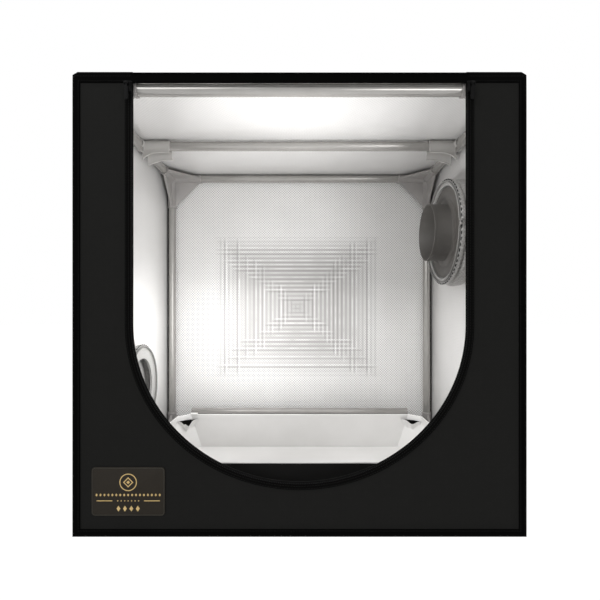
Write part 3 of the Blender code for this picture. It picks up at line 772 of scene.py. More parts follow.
@dataclass(frozen=True)
class GrainedSolid(Finish):
    """A moulded, coated or plated solid with a fine grain on it.

    The eye gets an even colour whose gloss breaks up softly in the grain.
    """

    grain: float = 0.9 * MM
    mottle: float = 25 * MM
    spread: float = 0.1

    def dress(self, tree: Tree, shader: Node) -> None:
        """Fine noise in bump, slow noise in tone and gloss."""
        place = add_node(tree, "ShaderNodeTexCoord").outputs["Object"]
        fine, slow = (add_node(tree, "ShaderNodeTexNoise", {"Vector": place, "Scale": 1 / size,
                                                            "Detail": detail})
                      for size, detail in ((self.grain, 2.0), (self.mottle, 4.0)))
        gloss = add_node(tree, "ShaderNodeMapRange", {
            "Value": slow, "To Min": self.roughness - self.spread,
            "To Max": self.roughness + self.spread})
        self.cover(tree, shader, slow, fine, gloss)


@dataclass(frozen=True)
class BraidedCord(Finish):
    """Polyester drawcord braided over a core.

    The eye gets a small diagonal plait in two greys.
    """

    plait: float = 2.2 * MM

    def dress(self, tree: Tree, shader: Node) -> None:
        """Two crossed diagonals in bump and tone."""
        cloth = add_node(tree, "ShaderNodeUVMap", uv_map=UV_NAME)
        bands = lattice(tree, cloth, self.plait, DIAGONAL)
        crossed = add_node(tree, "ShaderNodeMath", {0: bands[0], 1: bands[1]}, operation="MULTIPLY")
        self.cover(tree, shader, crossed, crossed)


CANVAS = WovenCanvas("black_oxford_canvas", "151514", "21211f", 0.12 * MM, 0.82, 0.12)
LINING = EmbossedFilm("silver_embossed_lining", "e2e1e0", "f1f0ef", 0.1 * MM, 0.3, metallic=0.4)
# Painted reflection and painted shade: the back wall's film carries the nested squares and much darker pits.
BACK_LINING_PAINTED_REFLECTION = EmbossedFilm("silver_embossed_back_lining", "e2e1e0", "f1f0ef", 0.35 * MM, 0.42,
                           metallic=0.12, painted_pit_shade="858482", squares=PaintedReflectionSquares())
# Painted shade: a darker copy of the silver film for the door's lining.
DOOR_LINING_SHADED = EmbossedFilm("silver_embossed_door_lining", "b4b3b1", "c6c5c3", 0.1 * MM, 0.38,
                           metallic=0.3, painted_pit_shade="a6a4a2")
# Painted shade: a darker copy of the silver film, for the shade inside the sleeves and the sock.
SLEEVE_LINING_SHADED = EmbossedFilm("silver_sleeve_film_painted_shade", "9a9997", "b6b5b3", 0.1 * MM, 0.3, metallic=0.12,
                             painted_pit_shade="8b8a88")
BINDING = RibbedTape("black_grosgrain_binding", "010101", "040404", 0.15 * MM, 0.8, 0.03)
ZIP_TAPE = RibbedTape("black_woven_zip_tape", "060606", "0a0a09", 0.15 * MM, 0.8, 0.03, rib=2.4 * MM)
THREAD = GrainedSolid("black_sewing_thread", "0e0e0e", "1c1c1b", FINE, 0.6, 0.1)
ZIP_COIL = GrainedSolid("black_nylon_coil", "060606", "0e0e0e", FINE, 0.45, 0.15)
POLE_PAINT = GrainedSolid("grey_powder_coat", "979591", "a5a3a0", 0.008 * MM, 0.2, metallic=0.45,
                          spread=0.05)
NYLON = GrainedSolid("grey_moulded_nylon", "817e7c", "979492", FINE, 0.42, coat=0.15)
# Painted light: a lighter copy of the corners' nylon, for clips that face the light more.
CLIP_NYLON_LIT = GrainedSolid("grey_moulded_nylon_painted_light", "a3a19e", "b4b2af", FINE, 0.38, coat=0.2)
FLANGE_ABS = GrainedSolid("dark_grey_moulded_abs", "4b4946", "575451", FINE)
ACETAL = GrainedSolid("black_moulded_acetal", "0d0d0d", "181818", FINE, 0.4)
LACQUER = GrainedSolid("black_lacquered_zinc", "040404", "080808", FINE, 0.55, 0.08)
CORD = BraidedCord("grey_braided_cord", "72716f", "9f9e9b", 0.2 * MM, 0.75)
TRAY_WHITE = GrainedSolid("white_pvc_sheet", "dad9d7", "e6e5e4", 0.05 * MM, 0.4, mottle=60 * MM)
TRAY_BLACK = GrainedSolid("black_pvc_sheet", "0f0f0f", "151514", 0.05 * MM, 0.6, 0.05, mottle=60 * MM)
PATCH_BROWN = GrainedSolid("dark_brown_leatherette", "27231e", "2f2b25", 0.12 * MM, 0.6, 0.12,
                           grain=1.6 * MM)
PATCH_RIM = GrainedSolid("grey_patch_edge", "3d3c37", "47453f", FINE, 0.6, 0.15)
GOLD = GrainedSolid("matt_gold_print", "c0a162", "dcc188", FINE, 0.45, metallic=0.3)


# What repeats along a line

class Bead(Enum):
    """Shape of the small thing that repeats along a line."""

    STITCH = "stitch"
    TOOTH = "tooth"


@dataclass(frozen=True)
class RepeatAlong:
    """Geometry Nodes that set small beads along lines: stitches or zip teeth."""

    bead: Bead

    @cached_property
    def tree(self) -> Tree:
        """The node tree, with its sizes and finish as named inputs."""
        tree = bpy.data.node_groups.new(f"repeat_{self.bead.value}", "GeometryNodeTree")
        face = tree.interface
        face.new_socket("Geometry", in_out="INPUT", socket_type="NodeSocketGeometry")
        face.new_socket("Spacing", in_out="INPUT", socket_type="NodeSocketFloat")
        face.new_socket("Size", in_out="INPUT", socket_type="NodeSocketVector")
        face.new_socket("Facing", in_out="INPUT", socket_type="NodeSocketVector")
        face.new_socket("Finish", in_out="INPUT", socket_type="NodeSocketMaterial")
        face.new_socket("Geometry", in_out="OUTPUT", socket_type="NodeSocketGeometry")
        given = add_node(tree, "NodeGroupInput").outputs
        line = add_node(tree, "GeometryNodeMeshToCurve", {"Mesh": given["Geometry"]})
        spots = add_node(tree, "GeometryNodeCurveToPoints", {
            "Curve": line.outputs["Curve"], "Length": given["Spacing"]}, mode="LENGTH")
        facing = add_node(tree, "FunctionNodeAlignRotationToVector", {
            "Rotation": spots.outputs["Rotation"], "Vector": given["Facing"]}, axis="X", pivot_axis="Z")
        if self.bead is Bead.STITCH:
            shape = add_node(tree, "GeometryNodeMeshUVSphere", {"Segments": 8, "Rings": 5, "Radius": 1.0})
        else:
            shape = add_node(tree, "GeometryNodeMeshCylinder", {
                "Vertices": 8, "Side Segments": 1, "Fill Segments": 1, "Radius": 1.0, "Depth": 2.0})
        copies = add_node(tree, "GeometryNodeInstanceOnPoints", {
            "Points": spots.outputs["Points"], "Instance": shape.outputs["Mesh"],
            "Rotation": facing.outputs["Rotation"], "Scale": given["Size"]})
        real = add_node(tree, "GeometryNodeRealizeInstances", {"Geometry": copies.outputs["Instances"]})
        dressed = add_node(tree, "GeometryNodeSetMaterial", {
            "Geometry": real.outputs["Geometry"], "Material": given["Finish"]})
        add_node(tree, "NodeGroupOutput", {"Geometry": dressed.outputs["Geometry"]})
        return tree

    def make(self, name: str, lines: Sequence[Sequence[Vector]], spacing: float, size: Vector,
             facing: Vector, finish: Finish, closed: bool = False) -> Thing:
        """Set beads along lines.

        Args:
            name: The piece's name.
            lines: The lines of points.
            spacing: Distance from bead to bead.
            size: Half sizes of a bead: off the face, across the line, along the line.
            facing: The face's normal.
            finish: The beads' finish.
            closed: Whether the lines close on themselves.

        Returns:
            The piece.
        """
        mesh = bpy.data.meshes.new(name)
        verts, edges = [], []
        for points in lines:
            start = len(verts)
            verts += [tuple(p) for p in points]
            edges += [(start + i, start + i + 1) for i in range(len(points) - 1)]
            if closed:
                edges.append((start + len(points) - 1, start))
        mesh.from_pydata(verts, edges, [])
        piece = bpy.data.objects.new(name, mesh)
        bpy.context.scene.collection.objects.link(piece)
        modifier = piece.modifiers.new("Repeat", "NODES")
        modifier.node_group = self.tree
        sockets = {item.name: item.identifier for item in self.tree.interface.items_tree
                   if item.in_out == "INPUT"}
        modifier[sockets["Spacing"]] = spacing
        modifier[sockets["Size"]] = size
        modifier[sockets["Facing"]] = facing
        modifier[sockets["Finish"]] = finish.material
        bake(piece)
        piece.data.shade_smooth()
        return piece


STITCHES = RepeatAlong(Bead.STITCH)
TEETH = RepeatAlong(Bead.TOOTH)
STITCH_PITCH = 3.6 * MM
STITCH_SIZE = Vector((0.28 * MM, 0.3 * MM, 1.35 * MM))
TACK_PITCH = 9.5 * MM
TACK_SIZE = Vector((0.9 * MM, 1.0 * MM, 3.4 * MM))


def settle(piece: Thing, body: str, slot: str, *nodes: str) -> Thing:
    """Tie a piece to its body and to the nodes that it stands for.

    Args:
        piece: The finished piece.
        body: The body that it moves with.
        slot: The record's material slot; not used.
        nodes: The nodes that it stands for.

    Returns:
        The piece.
    """
    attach(piece, body)
    if nodes:
        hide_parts(*nodes)
    LOG.info("%s: %d faces on %s", piece.name, len(piece.data.polygons), body)
    return piece


# The tent's plan, read from the frame

@dataclass(frozen=True)
class Plan:
    """The tent's main faces and outlines."""

    zip_width: float = 10 * MM
    curve_drop: float = 207.5 * MM
    arch_steps: int = 96

    @cached_property
    def front(self) -> tuple[Vector, Vector]:
        """Corners of the front panel."""
        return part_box("front_panel")

    @cached_property
    def opening_half(self) -> float:
        """Half the opening's width."""
        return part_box("door_zip_tape")[1].x - self.zip_width

    @cached_property
    def opening_top(self) -> float:
        """Height of the opening's top edge."""
        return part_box("front_binding")[1].z - self.zip_width

    @cached_property
    def curve_z(self) -> float:
        """Height at which the opening's sides turn into its rounded foot."""
        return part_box("door_zip_tape")[0].z + self.zip_width + self.curve_drop

    def arch(self, grow: float, top: float) -> Loop:
        """The opening's outline, grown by a margin.

        Args:
            grow: The margin.
            top: Height at which the outline ends.

        Returns:
            Points down the right side, round the foot and up the left side.
        """
        half, drop = self.opening_half + grow, self.curve_drop + grow
        turns = [math.pi * step / self.arch_steps for step in range(self.arch_steps + 1)]
        rise = [self.curve_z + (top - self.curve_z) * step / 12 for step in range(12, 0, -1)]
        curve = [(half * math.cos(a), self.curve_z - drop * math.sin(a)) for a in turns]
        return [(half, z) for z in rise] + curve + [(-half, z) for z in rise[::-1]]


PLAN = Plan()


def rectangle(low_u: float, low_v: float, high_u: float, high_v: float) -> Loop:
    """The four corners of a rectangle."""
    return [(low_u, low_v), (high_u, low_v), (high_u, high_v), (low_u, high_v)]


def circle(centre: Point2, radius: float, steps: int) -> Loop:
    """Points round a circle."""
    turns = [math.tau * step / steps for step in range(steps)]
    return [(centre[0] + radius * math.cos(a), centre[1] + radius * math.sin(a)) for a in turns]


# Shell

@dataclass
class Wall:
    """One panel of the shell: black canvas outside, silver film inside.

    place turns (u, v, depth) into a point, with the depth going inwards from the outer face.
    """

    name: str
    node: str
    place: Place
    cells: Cells
    flat: Point2
    hole: float = 0.0
    lining: Finish = LINING
    lining_cells: Cells | None = None
    canvas_thick: float = 0.9 * MM
    lining_from: float = 1.25 * MM
    lining_thick: float = 0.7 * MM
    slack: float = 0.35 * MM
    billow: float = 0.0
    seed: float = 0.0

    def dip(self, point: Point2, amount: float) -> float:
        """How far the cloth is drawn in at a point."""
        u, v = point
        puckers = 0.5 + 0.5 * ripple(u, v, self.seed, 35 * MM)
        waves = 0.5 + 0.5 * ripple(u, v, self.seed + 7, 130 * MM)
        return amount * (0.5 * puckers + 0.5 * waves)

    def layer(self, name: str, cells: Cells, start: float, thick: float, slack: float) -> Thing:
        """One layer of the panel as a thin closed solid.

        Args:
            name: The layer's name.
            cells: Its cells.
            start: Depth of its outer face.
            thick: Its thickness.
            slack: How far it may be drawn in.

        Returns:
            The layer.
        """
        points = cells.points
        return thick_cells(
            name, cells,
            lambda i: self.place(*points[i], start + self.dip(points[i], slack)),
            lambda i: self.place(*points[i], start + thick + self.dip(points[i], slack)))

    def build(self) -> None:
        """Make both layers and tie them to the shell."""
        canvas = CANVAS.on(self.layer(f"{self.name}_canvas", self.cells, 0.0, self.canvas_thick,
                                      self.slack))
        settle(canvas, "shell", "black_fabric", self.node)
        film = self.lining.on(self.layer(
            f"{self.name}_lining", self.lining_cells or self.cells, self.lining_from,
            self.lining_thick, self.slack + self.billow))
        settle(film, "shell", "silver_lining")


@dataclass
class Shell:
    """The sewn fabric box: six panels, their bindings and the stitches."""

    cell: float = 10 * MM
    rays: int = 168
    rings: int = 14
    billow: float = 0.9 * MM
    hem: float = 9 * MM
    seam: float = 0.3 * MM
    lining_back: float = 2.6 * MM
    edge_tape: float = 1.3 * MM
    edge_gap: float = 0.1 * MM
    edge_span: Point2 = (0.95 * MM, 2.2 * MM)
    corner_radius: float = 5 * MM
    tape: float = 10 * MM
    stitch_rows: Point2 = (2.0 * MM, 8.4 * MM)
    welt: float = 2.1 * MM
    welt_in: float = 3.36 * MM
    welt_foot: float = 8 * MM
    welt_trim: float = 12 * MM

    def build(self) -> None:
        """Make the walls, then the bindings and the inner seams."""
        self.walls()
        self.cut_edges()
        self.bindings()
        self.welts()

    def walls(self) -> None:
        """The six panels."""
        low, high = PLAN.front
        arch = PLAN.arch(0, PLAN.opening_top)
        half_oval = math.pi * PLAN.opening_half * PLAN.curve_drop / 2
        opening = 2 * PLAN.opening_half * (PLAN.opening_top - PLAN.curve_z) + half_oval
        centre = (0.0, PLAN.curve_z)
        cells = ring_cells(rectangle(low.x, low.z, high.x, high.z), arch, centre, self.rays, 8)
        cells.weave = cells.points
        back, inset = self.lining_back, self.edge_tape + self.edge_gap
        inner = ring_cells(rectangle(low.x + inset, low.z + inset, high.x - inset, high.z - inset),
                           PLAN.arch(back, PLAN.opening_top + back), centre, self.rays, 8)
        inner.weave = inner.points
        Wall("front", "front_panel", lambda u, v, d: Vector((u, low.y + d, v)), cells,
             (high.x - low.x, high.z - low.z), opening, seed=1, lining_cells=inner).build()
        low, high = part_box("back_panel")
        Wall("back", "back_panel", lambda u, v, d, y=high.y: Vector((u, y - d, v)),
             grid_cells((low.x, low.z), (high.x, high.z), self.cell),
             (high.x - low.x, high.z - low.z), lining=BACK_LINING_PAINTED_REFLECTION, billow=self.billow, seed=2,
             lining_cells=grid_cells((low.x + inset, low.z + inset), (high.x - inset, high.z - inset),
                                     self.cell)).build()
        for side, name in ((-1, "left"), (1, "right")):
            low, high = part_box(f"{name}_panel")
            sleeve_low, sleeve_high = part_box(f"{name}_port_sleeve")
            middle = (0.0, (sleeve_low.z + sleeve_high.z) / 2)
            radius = (sleeve_high.z - sleeve_low.z) / 2 - self.hem + self.seam
            cells = ring_cells(rectangle(low.y, low.z, high.y, high.z),
                               circle(middle, radius, 96), middle, self.rays, self.rings)
            cells.weave = cells.points
            outer = max(abs(low.x), abs(high.x))
            Wall(name, f"{name}_panel", lambda u, v, d, s=side, x=outer: Vector((s * (x - d), u, v)),
                 cells, (high.y - low.y, high.z - low.z), math.pi * radius ** 2,
                 billow=self.billow, seed=3 + side).build()
        low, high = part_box("roof_panel")
        Wall("roof", "roof_panel", lambda u, v, d, z=high.z: Vector((u, v, z - d)),
             grid_cells((low.x, low.y), (high.x, high.y), self.cell),
             (high.x - low.x, high.y - low.y), billow=self.billow, seed=5).build()
        low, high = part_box("floor_panel")
        Wall("floor", "floor_panel", lambda u, v, d: Vector((u, v, d)),
             grid_cells((low.x, low.y), (high.x, high.y), self.cell),
             (high.x - low.x, high.y - low.y), slack=0.0, seed=6).build()

    def cut_edges(self) -> None:
        """Black tape over the lining's cut edge, round the front and the back."""
        for name, way in (("front", 1), ("back", -1)):
            low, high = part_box(f"{name}_panel")
            edge, face = self.edge_tape, low.y if way > 0 else high.y
            cells = ring_cells(rectangle(low.x, low.z, high.x, high.z),
                               rectangle(low.x + edge, low.z + edge, high.x - edge, high.z - edge),
                               (0.0, (low.z + high.z) / 2), 96, 1)
            cells.weave = cells.points
            near, far = (face + way * depth for depth in self.edge_span)
            tape = thick_cells(f"{name}_edge_tape", cells, cells.at_y(near), cells.at_y(far))
            settle(BINDING.on(tape), "shell", "black_binding")

    def bindings(self) -> None:
        """The tape that wraps the seams round the front, the back and along the sides."""
        for name, front in (("front_binding", True), ("back_binding", False)):
            low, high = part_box(name)
            radius, tape = self.corner_radius, self.tape
            outer = [(low.x, low.z), (high.x, low.z)]
            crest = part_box("door_lower")[1].z if front else high.z
            for cx, start in ((high.x - radius, 0.0), (low.x + radius, math.pi / 2)):
                if front and start:
                    step = PLAN.opening_half + 0.6 * MM
                    outer += [(step, crest), (step - 3 * MM, high.z), (3 * MM - step, high.z),
                              (-step, crest)]
                outer += [(cx + radius * math.cos(start + math.pi / 12 * k),
                           crest - radius + radius * math.sin(start + math.pi / 12 * k))
                          for k in range(7)]
            inner = rectangle(low.x + tape, low.z + tape, high.x - tape, high.z - tape)
            centre = (0.0, (low.z + high.z) / 2)
            cells = ring_cells(outer, inner, centre, 240, 8)
            out, back = (low.y, high.y) if front else (high.y, low.y)

            def top(i: int, cells: Cells = cells, out: float = out, back: float = back) -> Vector:
                """A point of the tape's face, lower towards both edges."""
                off = abs(2 * cells.shares[i] - 1)
                rise = 1 - 0.75 * off ** 6
                u, v = cells.points[i]
                return Vector((u, back + (out - back) * rise, v))

            piece = thick_cells(f"{name}_tape", cells, top, cells.at_y(back))
            settle(BINDING.on(piece), "shell", "black_binding", name)
            self.stitch_ring(name, low, high, out, front)
        for level in ("bottom", "top"):
            for side in ("left", "right"):
                name = f"{level}_{side}_binding"
                piece = node_copy(f"{name}_tape", name, 0.5 * MM)
                self.unwrap_strip(piece)
                settle(BINDING.on(piece), "shell", "black_binding", name)

    def welts(self) -> None:
        """The black seam allowances inside, where the back meets the sides and the roof."""
        x, y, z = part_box("right_panel")[1].x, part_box("back_panel")[1].y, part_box("roof_panel")[1].z
        x, y, z = (side - self.welt_in for side in (x, y, z))
        for name, sign in (("left", -1), ("right", 1)):
            line = [Vector((sign * x, y, self.welt_foot + (z - self.welt_trim) * k / 12)) for k in range(13)]
            settle(BINDING.on(tube(f"back_{name}_welt", line, self.welt, 10)), "shell", "black_binding")
        line = [Vector((x * (k / 8 - 1), y, z)) for k in range(17)]
        settle(BINDING.on(tube("back_top_welt", line, self.welt, 10)), "shell", "black_binding")

    def unwrap_strip(self, piece: Thing) -> None:
        """Give a straight strip cloth coordinates along its length and round it."""
        layer = piece.data.uv_layers.new(name=UV_NAME)
        for corner in piece.data.loops:
            x, y, z = piece.data.vertices[corner.vertex_index].co
            layer.data[corner.index].uv = (y, x + z)

    def stitch_ring(self, name: str, low: Vector, high: Vector, face: float, front: bool) -> None:
        """Two rows of stitches round a binding.

        Args:
            name: The binding's name.
            low: Lowest corner of the binding.
            high: Highest corner of the binding.
            face: Where its face lies along Y.
            front: Whether it faces the front.
        """
        lines = []
        for inset in self.stitch_rows:
            corners = rectangle(low.x + inset, low.z + inset, high.x - inset, high.z - inset)
            lines.append([Vector((u, face, v)) for u, v in corners])
        facing = Vector((0, -1 if front else 1, 0))
        piece = STITCHES.make(f"{name}_stitches", lines, STITCH_PITCH, STITCH_SIZE, facing, THREAD, True)
        settle(piece, "shell", "black_binding")


# Frame of poles

def node_ends(node: str) -> tuple[Vector, Vector]:
    """Ends of the axis of a straight round node."""
    low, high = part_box(node)
    spans = high - low
    longest = max(range(3), key=lambda axis: spans[axis])
    start = (low + high) / 2
    end = start.copy()
    start[longest], end[longest] = low[longest], high[longest]
    return start, end


@dataclass
class Skeleton:
    """Steel poles in nylon corners, and the crossbar that slides along the top side poles."""

    pole_radius: float = 8 * MM
    pole_wall: float = 0.8 * MM
    pole_sides: int = 48
    bore: float = 8.3 * MM
    arm: float = 9.4 * MM
    ring: float = 9.8 * MM
    ring_length: float = 4 * MM
    reach: float = 65 * MM
    stop: float = 14 * MM
    web_half: float = 2 * MM
    web_edge: float = 64 * MM
    round_edge: float = 0.5 * MM

    def build(self) -> None:
        """Make the poles, the corners and the crossbar."""
        for node in sorted(frame["nodes"]):
            if node.startswith("pole_"):
                settle(self.pole(node), "shell", "grey_pole", node)
        settle(self.pole("crossbar"), "hanging_bar", "grey_pole", "crossbar")
        self.corners()
        for side, name in ((-1, "left"), (1, "right")):
            # The clips take the lighter copy of the nylon, which is painted light.
            clip = CLIP_NYLON_LIT.on(Clip(f"crossbar_clip_{name}", side).build())
            settle(clip, "hanging_bar", "grey_plastic", f"crossbar_clip_{name}")

    def pole(self, node: str) -> Thing:
        """A tube between a pole node's ends."""
        start, end = node_ends(node)
        steps = [start + (end - start) * share for share in (0, 0.5, 1)]
        return POLE_PAINT.on(tube(f"{node}_tube", steps, self.pole_radius, self.pole_sides,
                                  hollow=self.pole_radius - self.pole_wall))

    def corners(self) -> None:
        """Eight corners, mirrored from one."""
        pattern = self.corner_pattern()
        x, y = (abs(node_ends("pole_upright_back_right")[0][axis]) for axis in (0, 1))
        for level, sign_z in (("bottom", 1), ("top", -1)):
            z = node_ends(f"pole_{level}_back")[0].z
            for depth, sign_y in (("front", 1), ("back", -1)):
                for side, sign_x in (("left", 1), ("right", -1)):
                    node = f"corner_{level}_{depth}_{side}"
                    shape = bmesh.new()
                    shape.from_mesh(pattern.data)
                    bmesh.ops.scale(shape, verts=shape.verts, vec=(sign_x, sign_y, sign_z))
                    bmesh.ops.translate(shape, verts=shape.verts, vec=(-sign_x * x, -sign_y * y, z))
                    corner = NYLON.on(finish_mesh(f"{node}_moulding", shape))
                    settle(corner, "shell", "grey_plastic", node)
        bpy.data.objects.remove(pattern)

    def corner_pattern(self) -> Thing:
        """One push-fit corner at the origin: sockets with end rings, and webs between them."""
        ways = [Vector((1, 0, 0)), Vector((0, 1, 0)), Vector((0, 0, 1))]
        zero = Vector((0, 0, 0))
        corner = self.block(Vector((-self.arm,) * 3), Vector((self.arm,) * 3))
        for way in ways:
            self.join(corner, tube("arm", [zero, way * self.reach], self.arm, 40), "UNION")
            self.join(corner, tube("ring", [way * (self.reach - self.ring_length), way * self.reach],
                                   self.ring, 40), "UNION")
        root = (self.bore + self.ring) / 2
        for first, second in ((0, 1), (1, 2), (2, 0)):
            third = ways[3 - first - second]
            edge = self.web_edge - self.ring_length
            web = [(0, 0), (edge, 0), (edge, root), (root, edge), (0, edge)]
            self.join(corner, self.plate(web, ways[first], ways[second], third, self.web_half), "UNION")
        for way in ways:
            self.join(corner, tube("bore", [way * self.stop, way * (self.reach + 2 * MM)],
                                   self.bore, 40), "DIFFERENCE")
        return soften(corner, self.round_edge)

    def block(self, low: Vector, high: Vector) -> Thing:
        """A rectangular core between two corners."""
        shape = bmesh.new()
        place = Matrix.Translation((low + high) / 2) @ Matrix.Diagonal((*(high - low), 1))
        bmesh.ops.create_cube(shape, size=1, matrix=place)
        return finish_mesh("core", shape)

    def plate(self, loop: Loop, along: Vector, across: Vector, off: Vector,
              half: float) -> Thing:
        """A flat plate over a loop, of a half thickness."""
        shape = bmesh.new()
        rows = [[shape.verts.new(along * u + across * v + off * w) for u, v in loop]
                for w in (-half, half)]
        shape.faces.new(rows[0][::-1])
        shape.faces.new(rows[1])
        bridge(shape, *rows)
        return finish_mesh("plate", shape)

    def join(self, target: Thing, tool: Thing, operation: str) -> None:
        """Apply a Boolean of a tool, and delete the tool."""
        modifier = target.modifiers.new("Join", "BOOLEAN")
        modifier.operation = operation
        modifier.solver = "EXACT"
        modifier.object = tool
        bake(target)
        bpy.data.objects.remove(tool)


@dataclass
class Clip:
    """An end clip of the crossbar: a channel with a flared mouth, and a ring on the side pole."""

    node: str
    side: int
    radius: float = 9.05 * MM
    skin: float = 1.5 * MM
    shoulder: float = 8 * MM
    flare: float = 6.5 * MM
    short_drop: float = 14.5 * MM
    long_drop: float = 29 * MM
    lip: float = 5 * MM
    ring_half: float = 15 * MM
    slot: float = 6.5 * MM
    rim: float = 1.15 * MM
    stations: int = 24

    def build(self) -> Thing:
        """Make the clip as one moulding."""
        low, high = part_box(self.node)
        bar, pole = node_ends("crossbar")[0], node_ends("pole_top_right")[0]
        start = low.x if self.side > 0 else high.x
        end = self.side * (abs(pole.x) - 0.8 * self.radius)
        sections, edges = [], ([], [])
        for k in range(self.stations + 1):
            share = k / self.stations
            x = start + (end - start) * share
            path = self.section(share)
            sections.append([Vector((x, y, bar.z + z)) for y, z in thick_path(path, self.skin)])
            for edge, (y, z) in zip(edges, (path[0], path[-1])):
                edge.append(Vector((x, y, bar.z + z)))
        clip = loft(f"{self.node}_moulding", sections)
        centre = self.side * abs(pole.x)
        gap = math.asin(self.slot / self.radius)
        turns = [gap - math.pi / 2 + (math.tau - 2 * gap) * k / 40 for k in range(41)]
        arc = thick_path([(self.radius * math.cos(a), self.radius * math.sin(a)) for a in turns], self.skin)
        ring = loft("ring", [[Vector((centre + u, y, pole.z + v)) for u, v in arc]
                             for y in (-self.ring_half, 0, self.ring_half)])
        parts = [ring] + [tube("rim", edge, self.rim * wide, 10) for edge, wide in zip(edges, (1, 1.4))]
        for share, x in ((0, start + self.side * self.rim), (1, end - self.side * self.rim)):
            bead = [Vector((x, y, bar.z + z)) for y, z in self.section(share)]
            parts.append(tube("bead", bead, self.rim, 10))
        shape = bmesh.new()
        for part in [clip] + parts:
            shape.from_mesh(part.data)
            bpy.data.objects.remove(part)
        return soften(finish_mesh(f"{self.node}_moulding", shape), 0.35 * MM)

    def section(self, share: float) -> Loop:
        """Middle line of the channel: up the front, over the bar and down the back."""
        longer = self.long_drop - self.short_drop
        raised = self.short_drop + longer * share ** 5
        drop = self.short_drop + self.lip + (longer - self.lip) * share ** 2.5
        turns = [math.pi * (1 - k / 16) for k in range(17)]
        front = [self.skirt(-1, raised, 1 - k / 8) for k in range(8)]
        crown = [(self.radius * math.cos(a), self.radius * math.sin(a)) for a in turns]
        return front + crown + [self.skirt(1, drop, (k + 1) / 8) for k in range(8)]

    def skirt(self, way: int, drop: float, down: float) -> Point2:
        """A point of the flared skirt, down running from 0 at the bar to 1 at the rim."""
        reach = max(0.0, drop * down - self.shoulder) / (self.long_drop - self.shoulder)
        return way * (self.radius + self.flare * reach ** 1.3), -drop * down


# Zip and door

@dataclass
class ZipFront:
    """The fixed half of the zip, its teeth, the sliders and their pulls."""

    face: float = 0.35 * MM
    edge_lift: float = 1.1 * MM
    tooth_pitch: float = 2.4 * MM
    tooth_row: float = 1.0 * MM
    stitch_rows: Point2 = (4.6 * MM, 8.2 * MM)
    casting_round: float = 0.25 * MM
    tooth: Vector = field(default_factory=lambda: Vector((0.32 * MM, 0.9 * MM, 0.62 * MM)))

    def build(self) -> None:
        """Make the tape, its teeth and stitches, and the sliders."""
        low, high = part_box("door_zip_tape")
        outer, inner = PLAN.arch(PLAN.zip_width, high.z), PLAN.arch(0, high.z)
        cells = band_cells(outer, inner, 8)
        front, back = low.y + self.face, high.y

        def top(i: int) -> Vector:
            """A point of the tape's face, which dips at its outer edge and by the teeth."""
            off = abs(2 * cells.shares[i] - 1)
            u, v = cells.points[i]
            return Vector((u, front + self.edge_lift * off ** 8, v))

        tape = thick_cells("zip_tape_fixed", cells, top, cells.at_y(back))
        settle(ZIP_TAPE.on(tape), "shell", "zip_tape", "door_zip_tape")
        teeth = [Vector((u, low.y + self.face, v)) for u, v in PLAN.arch(self.tooth_row, high.z)]
        facing = Vector((0, -1, 0))
        piece = TEETH.make("zip_teeth_fixed", [teeth], self.tooth_pitch, self.tooth, facing, ZIP_COIL)
        settle(piece, "shell", "zip_tape")
        rows = [[Vector((u, front, v)) for u, v in PLAN.arch(grow, high.z)] for grow in self.stitch_rows]
        piece = STITCHES.make("zip_tape_stitches", rows, STITCH_PITCH, STITCH_SIZE, facing, THREAD)
        settle(piece, "shell", "zip_tape")
        for side in ("left", "right"):
            for part in ("slider", "pull"):
                node = f"zip_{part}_{side}"
                piece = LACQUER.on(node_copy(f"{node}_casting", node, self.casting_round))
                settle(piece, f"{side}_{part}", "zip_metal", node)


@dataclass
class Layer:
    """One layer of the door: how far it lies from the middle plane of the folded door."""

    name: str
    finish: Finish
    slot: str
    near: float
    far: float


